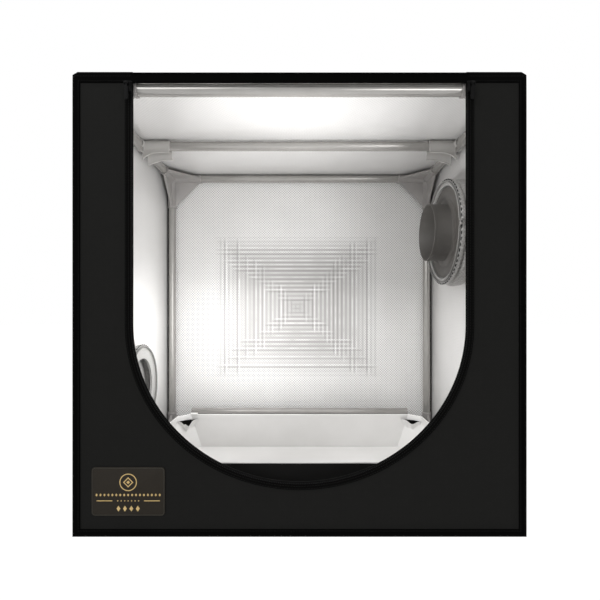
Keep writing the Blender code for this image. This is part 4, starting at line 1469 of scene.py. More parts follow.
@dataclass
class Door:
    """The door, thrown back over the roof, with its rounded foot folded on top of it."""

    hem: float = 8 * MM
    edge_gap: float = 0.3 * MM
    columns: int = 44
    row: float = 10 * MM
    fold_play: float = 0.5 * MM
    outside: float = 1.85 * MM
    skin: float = 0.6 * MM
    film: float = 0.5 * MM
    tail: float = 7 * MM
    bead_gap: float = 2.4 * MM
    bead_sink: float = 0.16 * MM
    cloth_inset: float = 1.5 * MM
    layer_gap: float = 0.1 * MM
    pucker_depth: float = 0.12 * MM
    pucker_length: float = 30 * MM
    tape_rise: float = 0.08 * MM
    tape_drop: float = 0.25 * MM
    strip_inset: float = 1.0 * MM
    strip_skin: float = 0.3 * MM
    strip_blend: float = 0.4 * MM
    hinge_over: float = 2 * MM
    hinge_tail: float = 0.7 * MM
    hinge_skin: float = 0.5 * MM
    piping: float = 0.85 * MM

    @cached_property
    def joints(self) -> dict:
        """The door's joints by name."""
        return {joint["name"]: joint for joint in frame["joints"]}

    @cached_property
    def hinge(self) -> Vector:
        """A point of the hinge's axis."""
        return Vector(self.joints["door_hinge"]["pos_m"])

    @cached_property
    def fold(self) -> Vector:
        """A point of the fold's axis."""
        return Vector(self.joints["door_fold"]["pos_m"])

    @cached_property
    def straight(self) -> float:
        """Length of the door's straight sides."""
        return self.hinge.z - PLAN.curve_z

    @cached_property
    def fold_reach(self) -> float:
        """Distance from the hinge to the fold."""
        return self.fold.y - self.hinge.y

    def edge(self, inset: float, start: float, end: float) -> Loop:
        """The right edge as (half width, reach) points.

        Args:
            inset: Distance in from the door's own edge.
            start: Reach of the first point.
            end: Reach of the last point, or more than the foot to go all the way round.

        Returns:
            The points.
        """
        half = PLAN.opening_half - self.edge_gap - inset
        drop = PLAN.curve_drop - self.edge_gap - inset
        count = max(1, round((min(end, self.straight) - start) / self.row))
        points = []
        if start < self.straight:
            points = [(half, start + (min(end, self.straight) - start) * k / count)
                      for k in range(count + 1)]
        if end > self.straight:
            low = math.asin(min(1, max(0, start - self.straight) / drop))
            high = math.asin(min(0.99995, (end - self.straight) / drop))
            turns = max(4, round((high - low) * drop / self.row))
            first = 1 if points else 0
            points += [(half * math.cos(low + (high - low) * k / turns),
                        self.straight + drop * math.sin(low + (high - low) * k / turns))
                       for k in range(first, turns + 1)]
        return points

    def place(self, folded: bool) -> Place:
        """Turn (u, reach, off) into a point, off growing away from the fold's middle plane."""
        if folded:
            return lambda u, v, off: Vector((u, self.fold.y + self.fold_reach - v, self.fold.z + off))
        return lambda u, v, off: Vector((u, self.hinge.y + v, self.fold.z - off))

    def build(self) -> None:
        """Make both halves, the strip at the fold and the hinge."""
        foot = self.straight + PLAN.curve_drop
        stretches = (("upper", "door", False, 0.0, self.fold_reach - self.fold_play, "door_upper"),
                     ("lower", "door_foot", True, self.fold_reach + self.fold_play, foot, "door_lower"))
        for name, body, folded, start, end, node in stretches:
            self.half(name, body, folded, start, end, node)
        self.fold_strip()
        self.hinge_strip()

    def half(self, name: str, body: str, folded: bool, start: float, end: float, node: str) -> None:
        """One half of the door: canvas, film, edge tape, teeth and stitches.

        Args:
            name: The half's name.
            body: The body that it moves with.
            folded: Whether it lies on top of the other half.
            start: Reach of its first edge.
            end: Reach of its last edge.
            node: The node that it stands for.
        """
        place = self.place(folded)
        right = self.edge(self.cloth_inset, start, end)
        cells = band_cells([(-u, v) for u, v in right], right, self.columns)
        cells.weave = cells.points
        area = sum((u + p) * abs(q - v) for (u, v), (p, q) in zip(right, right[1:]))
        inner = self.outside - self.skin - self.layer_gap
        layers = (Layer("canvas", CANVAS, "black_fabric", self.outside, self.outside - self.skin),
                  Layer("lining", DOOR_LINING_SHADED, "silver_lining", inner, inner - self.film))
        for layer in layers:
            seed = 20 + folded
            piece = thick_cells(
                f"door_{name}_{layer.name}", cells,
                lambda i, c=cells, o=layer.near: place(*c.points[i], o - self.pucker(c, i, seed)),
                lambda i, c=cells, o=layer.far: place(*c.points[i], o - self.pucker(c, i, seed)))
            settle(layer.finish.on(piece), body, layer.slot,
                   *([node] if layer.name == "canvas" else []))
        self.edge_tape(name, body, folded, start, end)

    def pucker(self, cells: Cells, index: int, seed: float) -> float:
        """How far the cloth dips between its hems."""
        u, v = cells.points[index]
        return self.pucker_depth * (0.5 + 0.5 * ripple(u, v, seed, self.pucker_length))

    def edge_tape(self, name: str, body: str, folded: bool, start: float, end: float) -> None:
        """The tape with teeth along one half's edges."""
        place = self.place(folded)
        outer, inner = self.edge(0, start, end), self.edge(self.hem, start, end)
        outer, inner = self.match(outer, inner)
        loops = zip(self.both_sides(outer, folded), self.both_sides(inner, folded))
        shape = bmesh.new()
        weave = []
        high = self.outside + self.tape_rise
        low = self.outside - self.skin - self.film - self.tape_drop
        for first, second in loops:
            cells = band_cells(first, second, 3)
            rows = [[shape.verts.new(place(*p, off)) for p in cells.points] for off in (high, low)]
            weave += cells.weave * 2
            for face in cells.faces:
                shape.faces.new([rows[0][i] for i in face])
                shape.faces.new([rows[1][i] for i in face[::-1]])
            for a, b in cells.rim():
                shape.faces.new((rows[0][b], rows[0][a], rows[1][a], rows[1][b]))
        tape = finish_mesh(f"door_{name}_zip_tape", shape, weave)
        settle(ZIP_TAPE.on(tape), body, "zip_tape")
        facing = Vector((0, 0, 1 if folded else -1))
        for label, inset, bead, size, pitch, finish in (
                ("teeth", 0.9 * MM, TEETH, ZipFront().tooth, ZipFront().tooth_pitch, ZIP_COIL),
                ("stitches", 5.5 * MM, STITCHES, STITCH_SIZE, STITCH_PITCH, THREAD)):
            line = self.edge(inset, start + self.bead_gap, end) if folded else self.edge(
                inset, start, end - self.bead_gap)
            lines = [[place(u, v, high - self.bead_sink) for u, v in points]
                     for points in self.both_sides(line, folded)]
            piece = bead.make(f"door_{name}_{label}", lines, pitch, size, facing, finish)
            settle(piece, body, "zip_tape")

    def both_sides(self, line: Loop, joined: bool) -> list[Loop]:
        """A right edge and its mirror image, as one line where they are joined."""
        mirrored = [(-u, v) for u, v in line]
        return [line + mirrored[::-1]] if joined else [line, mirrored]

    def match(self, outer: Loop, inner: Loop) -> tuple[Loop, Loop]:
        """Bring two edges to as many points, evenly along each."""
        count = max(len(outer), len(inner))
        return spread(outer, count), spread(inner, count)

    def fold_strip(self) -> None:
        """The canvas that runs round the fold, flat for a stretch on both halves."""
        end = self.fold_reach + self.tail
        half = self.edge(self.strip_inset, end, end + self.row)[0][0]
        low, high = self.fold.z - self.outside, self.fold.z + self.outside
        section = [(self.fold.y - self.tail * (1 - k / 3), low) for k in range(3)]
        turns = [math.pi * k / 16 for k in range(17)]
        section += [(self.fold.y + self.outside * math.sin(a), self.fold.z - self.outside * math.cos(a))
                    for a in turns]
        section += [(self.fold.y - self.tail * k / 3, high) for k in range(1, 4)]
        loop = thick_path(section, self.strip_skin)
        across = [-half + 2 * half * k / self.columns for k in range(self.columns + 1)]
        strip = CANVAS.on(loft("door_fold_strip", [[Vector((x, y, z)) for y, z in loop] for x in across]))
        self.fold.y
        self.fold.y
        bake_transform(strip)
        length = sum(math.dist(p, q) for p, q in zip(section, section[1:]))

    def hinge_strip(self) -> None:
        """The piping that the door turns about, and the tape that holds it to the binding."""
        half = PLAN.opening_half + self.hinge_over
        points = [Vector((-half + 2 * half * k / 60, self.hinge.y, self.hinge.z)) for k in range(61)]
        piping = BINDING.on(tube("door_hinge_piping", points, self.piping, 12))
        settle(piping, "shell", "black_binding")
        gap = self.strip_skin
        top, face = self.hinge.z - gap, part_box("front_binding")[0].y - gap
        section = thick_path([(self.hinge.y + self.hinge_tail, top), (face, top - self.hinge_over),
                              (face, PLAN.opening_top)], self.hinge_skin)
        strip = BINDING.on(loft("door_hinge_tape", [[Vector((p.x, y, z)) for y, z in section]
                                                    for p in points]))
        settle(strip, "shell", "black_binding")


def spread(line: Loop, count: int) -> Loop:
    """Points at even distances along a line."""
    run = [0.0]
    for p, q in zip(line, line[1:]):
        run.append(run[-1] + math.dist(p, q))
    points, at = [], 0
    for step in range(count):
        goal = run[-1] * step / (count - 1)
        while at < len(line) - 2 and run[at + 1] < goal:
            at += 1
        share = (goal - run[at]) / max(run[at + 1] - run[at], 1e-9)
        (ax, ay), (bx, by) = line[at], line[at + 1]
        points.append((ax + (bx - ax) * share, ay + (by - ay) * share))
    return points


def curve_through(points: Loop, steps: int) -> Loop:
    """A smooth line through points, with so many steps from each to the next."""
    result = []
    for i in range(len(points) - 1):
        p0, p1 = Vector(points[max(i - 1, 0)]), Vector(points[i])
        p2, p3 = Vector(points[i + 1]), Vector(points[min(i + 2, len(points) - 1)])
        for k in range(steps):
            t = k / steps
            spot = 0.5 * (2 * p1 + (p2 - p0) * t + (2 * p0 - 5 * p1 + 4 * p2 - p3) * t * t
                          + (3 * p1 - p0 - 3 * p2 + p3) * t ** 3)
            result.append(tuple(spot))
    return result + [tuple(points[-1])]


def thick_path(path: Loop, thick: float) -> Loop:
    """Close an open section into the section of a thin sheet."""
    sides: tuple[Loop, Loop] = ([], [])
    for i, (u, v) in enumerate(path):
        before, after = path[max(i - 1, 0)], path[min(i + 1, len(path) - 1)]
        run = Vector((after[0] - before[0], after[1] - before[1])).normalized() * thick / 2
        sides[0].append((u - run.y, v + run.x))
        sides[1].append((u + run.y, v - run.x))
    return sides[0] + sides[1][::-1]


# Ports

@dataclass
class Port:
    """A fabric sleeve turned into the tent, gathered into a cuff by a drawcord with its lock."""

    name: str
    side: int
    radius: float
    reach: float
    bulge: float
    bore: float
    pleats: int
    belly: float
    sag: float
    wall: float = 296 * MM
    cuff: float = 8 * MM
    hem: float = 9 * MM
    skin: float = 0.9 * MM
    cord_radius: float = 1.5 * MM
    lip: float = 2.9 * MM
    lock_round: float = 0.5 * MM
    dent: float = 1.1 * MM
    around: int = 160

    @cached_property
    def centre(self) -> Vector:
        """Middle of the port on its wall."""
        low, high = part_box(f"{self.name}_port_sleeve")
        return Vector((0, 0, (low.z + high.z) / 2))

    def path(self) -> list[tuple[float, float, float]]:
        """The sleeve's section as (x, radius, depth of the pleats), from its outer hem inwards."""
        face = self.wall - self.reach
        edge = self.radius + self.bulge
        tube_radius = self.radius - self.skin / 2 - 0.4 * MM
        back = face + self.cuff
        out = self.wall + self.lip
        return [
            (out, self.radius + self.hem - 0.6 * MM, 0.2), (out, self.radius + self.hem / 2, 0.2),
            (out - 0.1 * MM, tube_radius + 1.2 * MM, 0.2), (out - 1.0 * MM, tube_radius, 0.2),
            (self.wall - 2 * MM, tube_radius - 0.3 * MM, 0.3),
            ((self.wall + back) / 2 + 3 * MM, tube_radius + self.belly, 1.0),
            (back + 6 * MM, tube_radius + self.belly * 0.8, 1.7),
            (back + 2.6 * MM, tube_radius - 0.6 * MM, 3.0), (back + 0.8 * MM, edge - 4.4 * MM, 3.2),
            (back - 0.7 * MM, edge - 1.6 * MM, 2.2), (back - 2.6 * MM, edge - 0.4 * MM, 1.0),
            (face + 2.2 * MM, edge - 0.5 * MM, 0.6), (face + 0.8 * MM, edge - 1.8 * MM, 0.8),
            (face + 0.5 * MM, (edge + self.bore) / 2, 0.7), (face + 0.6 * MM, self.bore + 1.2 * MM, 0.3),
            (face + 1.6 * MM, self.bore + 0.6 * MM, 0.1), (face + 4.5 * MM, self.bore + 0.6 * MM, 0.0)]

    def build(self) -> None:
        """Make the sleeve, its stitches, the drawcord, the lock and its button."""
        path = self.path()
        smooth = curve_through([point[:2] for point in path], 3)
        depth = curve_through([(point[2], 0.0) for point in path], 3)
        count = len(smooth)

        def shift(index: int, angle: float) -> Point2:
            """Pleats, soft dents and the sag of the sleeve."""
            at = index if index < count else 2 * count - 1 - index
            x = smooth[at][0]
            drift = 0.5 * ripple(math.cos(angle), math.sin(angle), self.side, 0.35)
            fold = abs(math.sin(self.pleats * angle / 2 + 2.2 * drift))
            pleat = depth[at][0] * MM * (fold - 0.65) * (0.75 + 0.5 * ripple(
                angle, 0.0, self.side + 5, 0.09))
            free = max(0.0, min(1.0, (self.wall - 4 * MM - x) / (6 * MM)))
            loose = free * max(0.0, min(1.0, (x - (self.wall - self.reach) - self.cuff) / (4 * MM)))
            dent = self.dent * loose * ripple(math.cos(angle) * 2, math.sin(angle) * 2 + x * 40, 3.0, 0.5)
            low = self.sag * loose * max(0.0, -math.cos(angle)) ** 2
            return 0.25 * pleat, pleat + dent + low

        section = thick_path(smooth, self.skin)
        sleeve = lathe(f"{self.name}_sleeve_film", section, self.centre, self.side, 8 * self.pleats, shift)
        settle(SLEEVE_LINING_SHADED.on(sleeve), "shell", "silver_lining", f"{self.name}_port_sleeve")
        length = sum(math.dist(p, q) for p, q in zip(smooth, smooth[1:]))
        self.hem_ring()
        self.gathers()
        self.drawcord()
        for node, body in ((f"{self.name}_cord_lock", "shell"), (f"{self.name}_lock_button",
                                                                 f"{self.name}_button")):
            piece = ACETAL.on(node_copy(f"{node}_moulding", node, self.lock_round))
            settle(piece, body, "black_plastic", node)

    def hem_ring(self) -> None:
        """A black ring of tape over the hem, outside, with two rows of stitches."""
        face = self.wall + self.lip
        low, high = self.radius - 1.2 * MM, self.radius + self.hem
        profile = [(face - 0.55 * MM, low), (face + 0.35 * MM, low), (face + 0.6 * MM, low + 0.8 * MM),
                   (face + 0.6 * MM, high - 0.8 * MM), (face + 0.2 * MM, high), (face - 0.55 * MM, high)]
        ring = BINDING.on(lathe(f"{self.name}_port_hem", profile, self.centre, self.side, 192))
        settle(ring, "shell", "black_binding")
        rows = [self.round_line(face + 0.6 * MM, radius) for radius in (low + 2.2 * MM, high - 2.0 * MM)]
        stitches = STITCHES.make(f"{self.name}_port_hem_stitches", rows, STITCH_PITCH, STITCH_SIZE,
                                 Vector((self.side, 0, 0)), THREAD, True)
        settle(stitches, "shell", "black_binding")

    def gathers(self) -> None:
        """Long dark tacks that hold the pleats behind the cuff's edge."""
        face, edge = self.wall - self.reach, self.radius + self.bulge
        ring = self.round_line(face + 0.5 * MM, edge - 0.5 * MM)
        tacks = STITCHES.make(f"{self.name}_port_gathers", [ring], TACK_PITCH, TACK_SIZE,
                              Vector((-self.side, 0, 0)), THREAD, True)
        settle(tacks, "shell", "black_binding")

    def round_line(self, x: float, radius: float) -> list[Vector]:
        """Points round the port's axis, from the top towards the front."""
        turns = [math.tau * k / self.around for k in range(self.around)]
        return [Vector((self.side * x, -radius * math.sin(a), self.centre.z + radius * math.cos(a)))
                for a in turns]

    def drawcord(self) -> None:
        """The drawcord: from its lock, once round the cuff's face, and back."""
        gap, spread_half, bend = 0.3 * MM, 3 * MM, 6 * MM
        lock_low, lock_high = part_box(f"{self.name}_cord_lock")
        lock_radius = (lock_high.y - lock_low.y) / 2
        lock_face = min(abs(lock_low.x), abs(lock_high.x)) - gap
        edge = self.radius + self.bulge
        ring, ring_x = edge - 4 * MM, self.wall - self.reach - gap - self.cord_radius
        out, rise, lift = edge + gap + lock_radius, spread_half + bend, 1.2 * MM
        middle = math.sqrt((ring + bend) ** 2 - rise ** 2)
        meet = math.asin(rise / (ring + bend))
        half = [(lock_face, out, spread_half), (ring_x + bend, out, spread_half),
                (ring_x + lift / 2, out - lift / 2, spread_half),
                (ring_x, middle + lift / 2, spread_half)]
        for step in range(1, 7):
            angle = (math.pi / 2 - meet) * step / 6
            half.append((ring_x, middle - bend * math.sin(angle), rise - bend * math.cos(angle)))
        turns = [meet + 2 * (math.pi - meet) * step / 120 for step in range(1, 120)]
        whole = half + [(ring_x, ring * math.cos(a), ring * math.sin(a)) for a in turns]
        whole += [(x, y, -z) for x, y, z in half[::-1]]
        points = [Vector((self.side * x, -y, self.centre.z + z)) for x, y, z in whole]
        cord = CORD.on(tube(f"{self.name}_drawcord_braid", points, self.cord_radius, 14))
        settle(cord, "shell", "drawcord", f"{self.name}_port_drawcord")


@dataclass
class Sock:
    """The left port's outer sock, gathered shut: canvas outside and film inside."""

    name: str = "left_port_sock"
    pleats: int = 30
    hub: float = 2.2 * MM
    rings: int = 14
    steps: int = 240
    puff: float = 5.5 * MM

    def build(self) -> None:
        """Make both layers."""
        low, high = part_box(self.name)
        middle = (low + high) / 2
        rim = (high.z - low.z) / 2 - 0.6 * MM
        inner, outer = -high.x, -low.x
        layers = (("film", SLEEVE_LINING_SHADED, "silver_lining", inner - 0.1 * MM, -self.puff),
                  ("canvas", CANVAS, "black_fabric", outer - 1.6 * MM, 0.9 * MM))
        for label, finish, slot, x, rise in layers:
            path = [(x + rise * (k / self.rings) ** 1.5, rim + (self.hub - rim) * k / self.rings)
                    for k in range(self.rings + 1)]

            def shift(index: int, angle: float, path: Loop = path, rise: float = rise) -> Point2:
                """Radial pleats that deepen towards the middle."""
                at = index if index < len(path) else 2 * len(path) - 1 - index
                share = at / self.rings
                fold = abs(math.sin(self.pleats * angle / 2 + 0.6 * math.sin(3 * angle)))
                return math.copysign(0.9 * MM, rise) * share * (1.4 - share) * (fold - 0.3), 0.0

            piece = lathe(f"{self.name}_{label}", thick_path(path, 0.5 * MM), Vector((0, 0, middle.z)),
                          -1, self.steps, shift)
            settle(finish.on(piece), "shell", slot, *([self.name] if label == "canvas" else []))


@dataclass
class DuctFlange:
    """A moulded disc with a duct collar into the tent and a spigot through the wall."""

    disc: float = 79.7 * MM
    collar: float = 50 * MM
    wall: float = 1.5 * MM
    steps: int = 160

    def build(self) -> None:
        """Turn the flange with its raised rings and rolled rim."""
        low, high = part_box("duct_flange")
        centre = Vector((0, 0, (low.z + high.z) / 2))
        face = low.x + 31.5 * MM
        back = face + 3 * MM
        bore = self.collar - self.wall
        profile = [
            (low.x + 0.6 * MM, bore), (low.x, bore + 0.4 * MM), (low.x, self.collar - 0.4 * MM),
            (low.x + 0.5 * MM, self.collar), (low.x + 3.2 * MM, self.collar),
            (low.x + 3.6 * MM, self.collar - 0.35 * MM), (face - 2.4 * MM, self.collar - 0.35 * MM),
            (face - 0.9 * MM, self.collar + 0.2 * MM), (face, self.collar + 1.6 * MM),
            (face, self.collar + 8 * MM), (face + 0.5 * MM, self.collar + 8.8 * MM),
            (face + 0.5 * MM, self.collar + 12 * MM), (face, self.collar + 12.8 * MM),
            (face, self.disc - 5 * MM), (face + 0.5 * MM, self.disc - 4.2 * MM),
            (face + 0.5 * MM, self.disc - 0.6 * MM), (face + 1.0 * MM, self.disc),
            (back - 0.4 * MM, self.disc), (back, self.disc - 0.4 * MM), (back, self.collar + 1.2 * MM),
            (back + 1.0 * MM, self.collar), (high.x - 0.4 * MM, self.collar),
            (high.x, self.collar - 0.4 * MM), (high.x, bore)]
        flange = FLANGE_ABS.on(lathe("duct_flange_moulding", profile, centre, 1, self.steps))
        settle(flange, "flange", "flange_plastic", "duct_flange")


# Tray

@dataclass
class Tray:
    """A spill tray folded from coated sheet: black outside and white inside."""

    foot: Point2 = (271.7 * MM, 181.1 * MM)
    rim: Point2 = (255.7 * MM, 154.5 * MM)
    foot_corner: float = 55.2 * MM
    rim_corner: float = 22 * MM
    height: float = 78 * MM
    skin: float = 0.7 * MM
    levels: int = 8
    side_steps: tuple[int, int, int] = (14, 5, 22)
    hem: float = 10 * MM
    mouths: Point2 = (8 * MM, 4.5 * MM)
    rod: float = 7.4 * MM
    rod_gap: float = 0.4 * MM
    rod_in: float = 2 * MM
    rod_lift: float = 5 * MM
    roll: float = 2.6 * MM
    roll_lift: float = 1.6 * MM
    roll_length: float = 14 * MM
    pocket_share: float = 0.9
    pocket_inset: float = 2.0 * MM
    pocket_ends: Point2 = (16 * MM, 2 * MM)
    pocket_steps: tuple[int, int] = (12, 8)
    apex_share: float = 0.45
    apex_in: float = 18 * MM
    apex_up: float = 30 * MM
    mouth_skew: float = 1.36
    lining_pull: float = 0.55
    flap_off: float = 0.9 * MM
    flap_skin: float = 0.6 * MM
    gap: float = 0.1 * MM
    sag: float = 1.6 * MM
    rim_sag: float = 0.5 * MM
    wave: float = 60 * MM
    roll_rim: float = 1.1 * MM
    turned_in: Point2 = (1.5 * MM, 2.6 * MM)
    floor_shares: tuple = (0.05, 0.35, 0.65, 0.9)

    def ring(self, level: float, depth: float, grow: float = 0.0) -> list[Vector]:
        """Points round the tray at a level from 0 at the foot to 1 at the rim.

        Args:
            level: The level.
            depth: Distance in from the outer face.
            grow: How far the middle of each long side is drawn in.

        Returns:
            The points.
        """
        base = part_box("spill_tray")[0].z
        x = self.foot[0] + (self.rim[0] - self.foot[0]) * level - depth
        y = self.foot[1] + (self.rim[1] - self.foot[1]) * level - depth
        cut = self.foot_corner + (self.rim_corner - self.foot_corner) * level
        corners = [(x, -y + cut), (x, y - cut), (x - cut, y), (-x + cut, y), (-x, y - cut),
                   (-x, -y + cut), (-x + cut, -y), (x - cut, -y)]
        counts = [self.side_steps[k] for k in (0, 1, 2, 1, 0, 1, 2, 1)]
        points = []
        for (ax, ay), (bx, by), count in zip(corners, corners[1:] + corners[:1], counts):
            for k in range(count):
                share = k / count
                spot = Vector((ax + (bx - ax) * share, ay + (by - ay) * share, base + depth
                               + (self.height - depth) * level))
                inward = Vector((-spot.x, -spot.y, 0)).normalized()
                wave = 0.5 + 0.5 * ripple(spot.x, spot.y, 31.0, self.wave)
                points.append(spot + inward * grow * wave * math.sin(math.pi * share))
        return points

    def surface(self, shape: Shape, depth: float) -> list[list[bmesh.types.BMVert]]:
        """Rings of vertices from the middle of the floor to the rim."""
        rows = []
        foot = self.ring(0, depth)
        for share in self.floor_shares:
            rows.append([shape.verts.new((p.x * share, p.y * share, p.z)) for p in foot])
        for level in range(self.levels + 1):
            share = level / self.levels
            sag = self.sag * math.sin(math.pi * share) + self.rim_sag * share
            rows.append([shape.verts.new(p) for p in self.ring(share, depth, sag)])
        return rows

    def build(self) -> None:
        """Make both skins, the rolled rim and the folded corners."""
        for label, finish, start in (("outside", TRAY_BLACK, 0.0),
                                     ("inside", TRAY_WHITE, self.skin + self.gap)):
            shape = bmesh.new()
            outer, inner = self.surface(shape, start), self.surface(shape, start + self.skin)
            for rows in (outer, inner):
                shape.faces.new(rows[0])
                bridge(shape, *rows)
            bridge(shape, outer[-1], inner[-1])
            piece = finish.on(finish_mesh(f"tray_{label}", shape))
            settle(piece, "tray", "tray_sheet", *(["spill_tray"] if label == "outside" else []))
        rim = self.ring(1, self.skin + self.gap, self.rim_sag)
        hem = TRAY_WHITE.on(tube("tray_rim_hem", rim, self.roll_rim, 10, closed=True))
        settle(hem, "tray", "tray_sheet")
        shape = bmesh.new()
        foot = 1 - self.hem / self.height
        near, far = self.turned_in
        rows = [[shape.verts.new(point) for point in self.ring(level, depth, self.rim_sag)]
                for level, depth in ((1, near), (1, far), (foot, far), (foot, near))]
        bridge(shape, *rows, rows[0])
        settle(TRAY_WHITE.on(finish_mesh("tray_turned_hem", shape)), "tray", "tray_sheet")
        for number, (sx, sy) in enumerate(((1, 1), (-1, 1), (-1, -1), (1, -1))):
            self.pocket(number, sx, sy)
        self.stiffener()

    def stiffener(self) -> None:
        """The rod that keeps the back rim straight, and the rolled end of the rim beside it."""
        reach = self.rim[0] - self.rim_corner - self.rod_in
        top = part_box("spill_tray")[1].z
        for name, finish, slot, ends, y, lift, radius, sides in (
                ("tray_back_rod", POLE_PAINT, "grey_pole", (-reach, 0, reach),
                 self.rim[1] + self.rod + self.rod_gap, self.rod_lift, self.rod, 32),
                ("tray_rolled_end", TRAY_WHITE, "tray_sheet", (-reach, self.roll_length - reach),
                 self.rim[1] - self.rod_in, self.roll_lift, self.roll, 20)):
            steps = [Vector((x, y, top + lift)) for x in ends]
            settle(finish.on(tube(name, steps, radius, sides)), "tray", slot)

    def pocket(self, number: int, sx: int, sy: int) -> None:
        """The flap of sheet folded inside a corner, with the dark mouth of its pocket.

        Args:
            number: The corner's number.
            sx: Sign of x at the corner.
            sy: Sign of y at the corner.
        """
        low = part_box("spill_tray")[0].z
        top = low + self.height - self.pocket_share * self.hem
        x, y = self.rim[0] - self.pocket_inset, self.rim[1] - self.pocket_inset
        first = Vector((sx * (x - self.rim_corner - self.pocket_ends[0]), sy * y, top))
        last = Vector((sx * x, sy * (y - self.rim_corner - self.pocket_ends[1]), top))
        corner = Vector((sx * (x - self.rim_corner / 2), sy * (y - self.rim_corner / 2), top))
        apex = Vector((sx * (self.foot[0] - self.foot_corner * self.apex_share),
                       sy * (self.foot[1] - self.apex_in), low + self.apex_up))
        inward = Vector((-sx, -sy, 0)).normalized()
        steps, rows = self.pocket_steps
        cells = grid_cells((0, 0), (steps, rows), 1)
        mouth = self.mouths[0 if sx < 0 else 1]
        for label, finish, bulge, off, pull in (
                ("flap", TRAY_WHITE, mouth, self.flap_off, 0.0),
                ("lining", TRAY_BLACK, 0.0, self.flap_off / 3, self.lining_pull)):

            def spot(i: int, off: float, bulge: float = bulge, pull: float = pull) -> Vector:
                """A point of the flap, drawn in at the mouth's lowest place."""
                across, down = cells.points[i][0] / steps, cells.points[i][1] / rows
                share = across ** self.mouth_skew
                bend = (4 * share * (1 - share)) ** 4
                edge = first.lerp(last, across).lerp(corner, pull * bend)
                edge += inward * bulge * bend * 0.6 - Vector((0, 0, 1.6 * bulge * bend))
                return apex.lerp(edge, 0.02 + 0.98 * down) + inward * off

            piece = thick_cells(f"tray_corner_{number}_{label}", cells, lambda i: spot(i, off),
                                lambda i: spot(i, off + self.flap_skin))
            settle(finish.on(piece), "tray", "tray_sheet")


# Patch

@dataclass
class Patch:
    """The sewn-on patch at the front's lower left, with a plain gold device."""

    print_height: float = 0.12 * MM
    sink: float = 0.3 * MM
    corner: float = 5 * MM
    seam_inset: float = 1.2 * MM
    seam: float = 0.32 * MM
    base_round: float = 0.25 * MM
    crest_share: float = 0.31
    crest_rings: tuple = ((11.5 * MM, 10.3 * MM, 72), (6.8 * MM, 5.0 * MM, 4))
    row_shares: tuple[float, float, float] = (0.07, 0.19, 0.35)
    half_share: float = 0.43
    bead_share: float = 0.11
    gem_pitch: float = 8.5 * MM
    crest_gem: Point2 = (2.4 * MM, 2.4 * MM)
    dot: Point2 = (1.5 * MM, 2.0 * MM)
    bead: Point2 = (1.0 * MM, 1.0 * MM)
    gem: Point2 = (2.6 * MM, 3.8 * MM)
    rule: float = 1.1 * MM

    def build(self) -> None:
        """Make the patch, its edge and the print."""
        base = PATCH_BROWN.on(node_copy("patch_base", "label_patch", self.base_round))
        settle(base, "shell", "label", "label_patch")
        low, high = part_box("label_patch")
        face = low.y - self.print_height
        middle = (low + high) / 2
        height = high.z - low.z
        self.outline(low, high)
        shape = bmesh.new()
        crest = (middle.x, high.z - self.crest_share * height)
        for outer, inner, steps in self.crest_rings:
            rows = [[shape.verts.new((u, y, v)) for v, u in circle(crest[::-1], radius, steps)]
                    for radius in (outer, inner) for y in (face + self.sink, face)]
            bridge(shape, rows[0], rows[1], rows[3], rows[2], rows[0])
        dots, rules, gems = (middle.z - share * height for share in self.row_shares)
        half = self.half_share * (high.x - low.x)
        figures = [(*crest, *self.crest_gem)]
        figures += [(middle.x + half * (k / 8 - 1), dots, *self.dot) for k in range(17)]
        figures += [(middle.x + self.bead_share * half * k, rules, *self.bead) for k in range(-3, 4)]
        figures += [(middle.x + self.gem_pitch * (k - 1.5), gems, *self.gem) for k in range(4)]
        for x, z, wide, tall in figures:
            self.solid(shape, [(x - wide, z), (x, z - tall), (x + wide, z), (x, z + tall)], face)
        for sign in (-1, 1):
            start, end = sorted((middle.x + sign * half, middle.x + sign * half / 2))
            self.solid(shape, rectangle(start, rules - self.rule / 2, end, rules + self.rule / 2), face)
        settle(GOLD.on(finish_mesh("patch_print", shape)), "shell", "label")

    def outline(self, low: Vector, high: Vector) -> None:
        """The thin pale edge round the patch."""
        reach = self.corner - self.seam_inset
        points = []
        for quarter, (cx, cz) in enumerate(((high.x - self.corner, high.z - self.corner),
                                            (low.x + self.corner, high.z - self.corner),
                                            (low.x + self.corner, low.z + self.corner),
                                            (high.x - self.corner, low.z + self.corner))):
            for k in range(9):
                angle = math.pi / 2 * (quarter + k / 8)
                points.append(Vector((cx + reach * math.cos(angle), low.y, cz + reach * math.sin(angle))))
        edge = PATCH_RIM.on(tube("patch_edge", points, self.seam, 8, closed=True))
        settle(edge, "shell", "label")

    def solid(self, shape: Shape, loop: Loop, face: float) -> None:
        """A raised flat figure over a loop."""
        rows = [[shape.verts.new((u, y, v)) for u, v in loop] for y in (face + self.sink, face)]
        shape.faces.new(rows[0])
        shape.faces.new(rows[1][::-1])
        bridge(shape, *rows)


# Studio

def followed(tree: Tree) -> Node:
    """1 for the rays that the eye follows, straight, mirrored or through glass, and else 0."""
    path = add_node(tree, "ShaderNodeLightPath").outputs
    seen = path["Is Camera Ray"]
    for kind in ("Is Glossy Ray", "Is Transmission Ray"):
        seen = add_node(tree, "ShaderNodeMath", {0: seen, 1: path[kind]}, operation="MAXIMUM")
    return seen


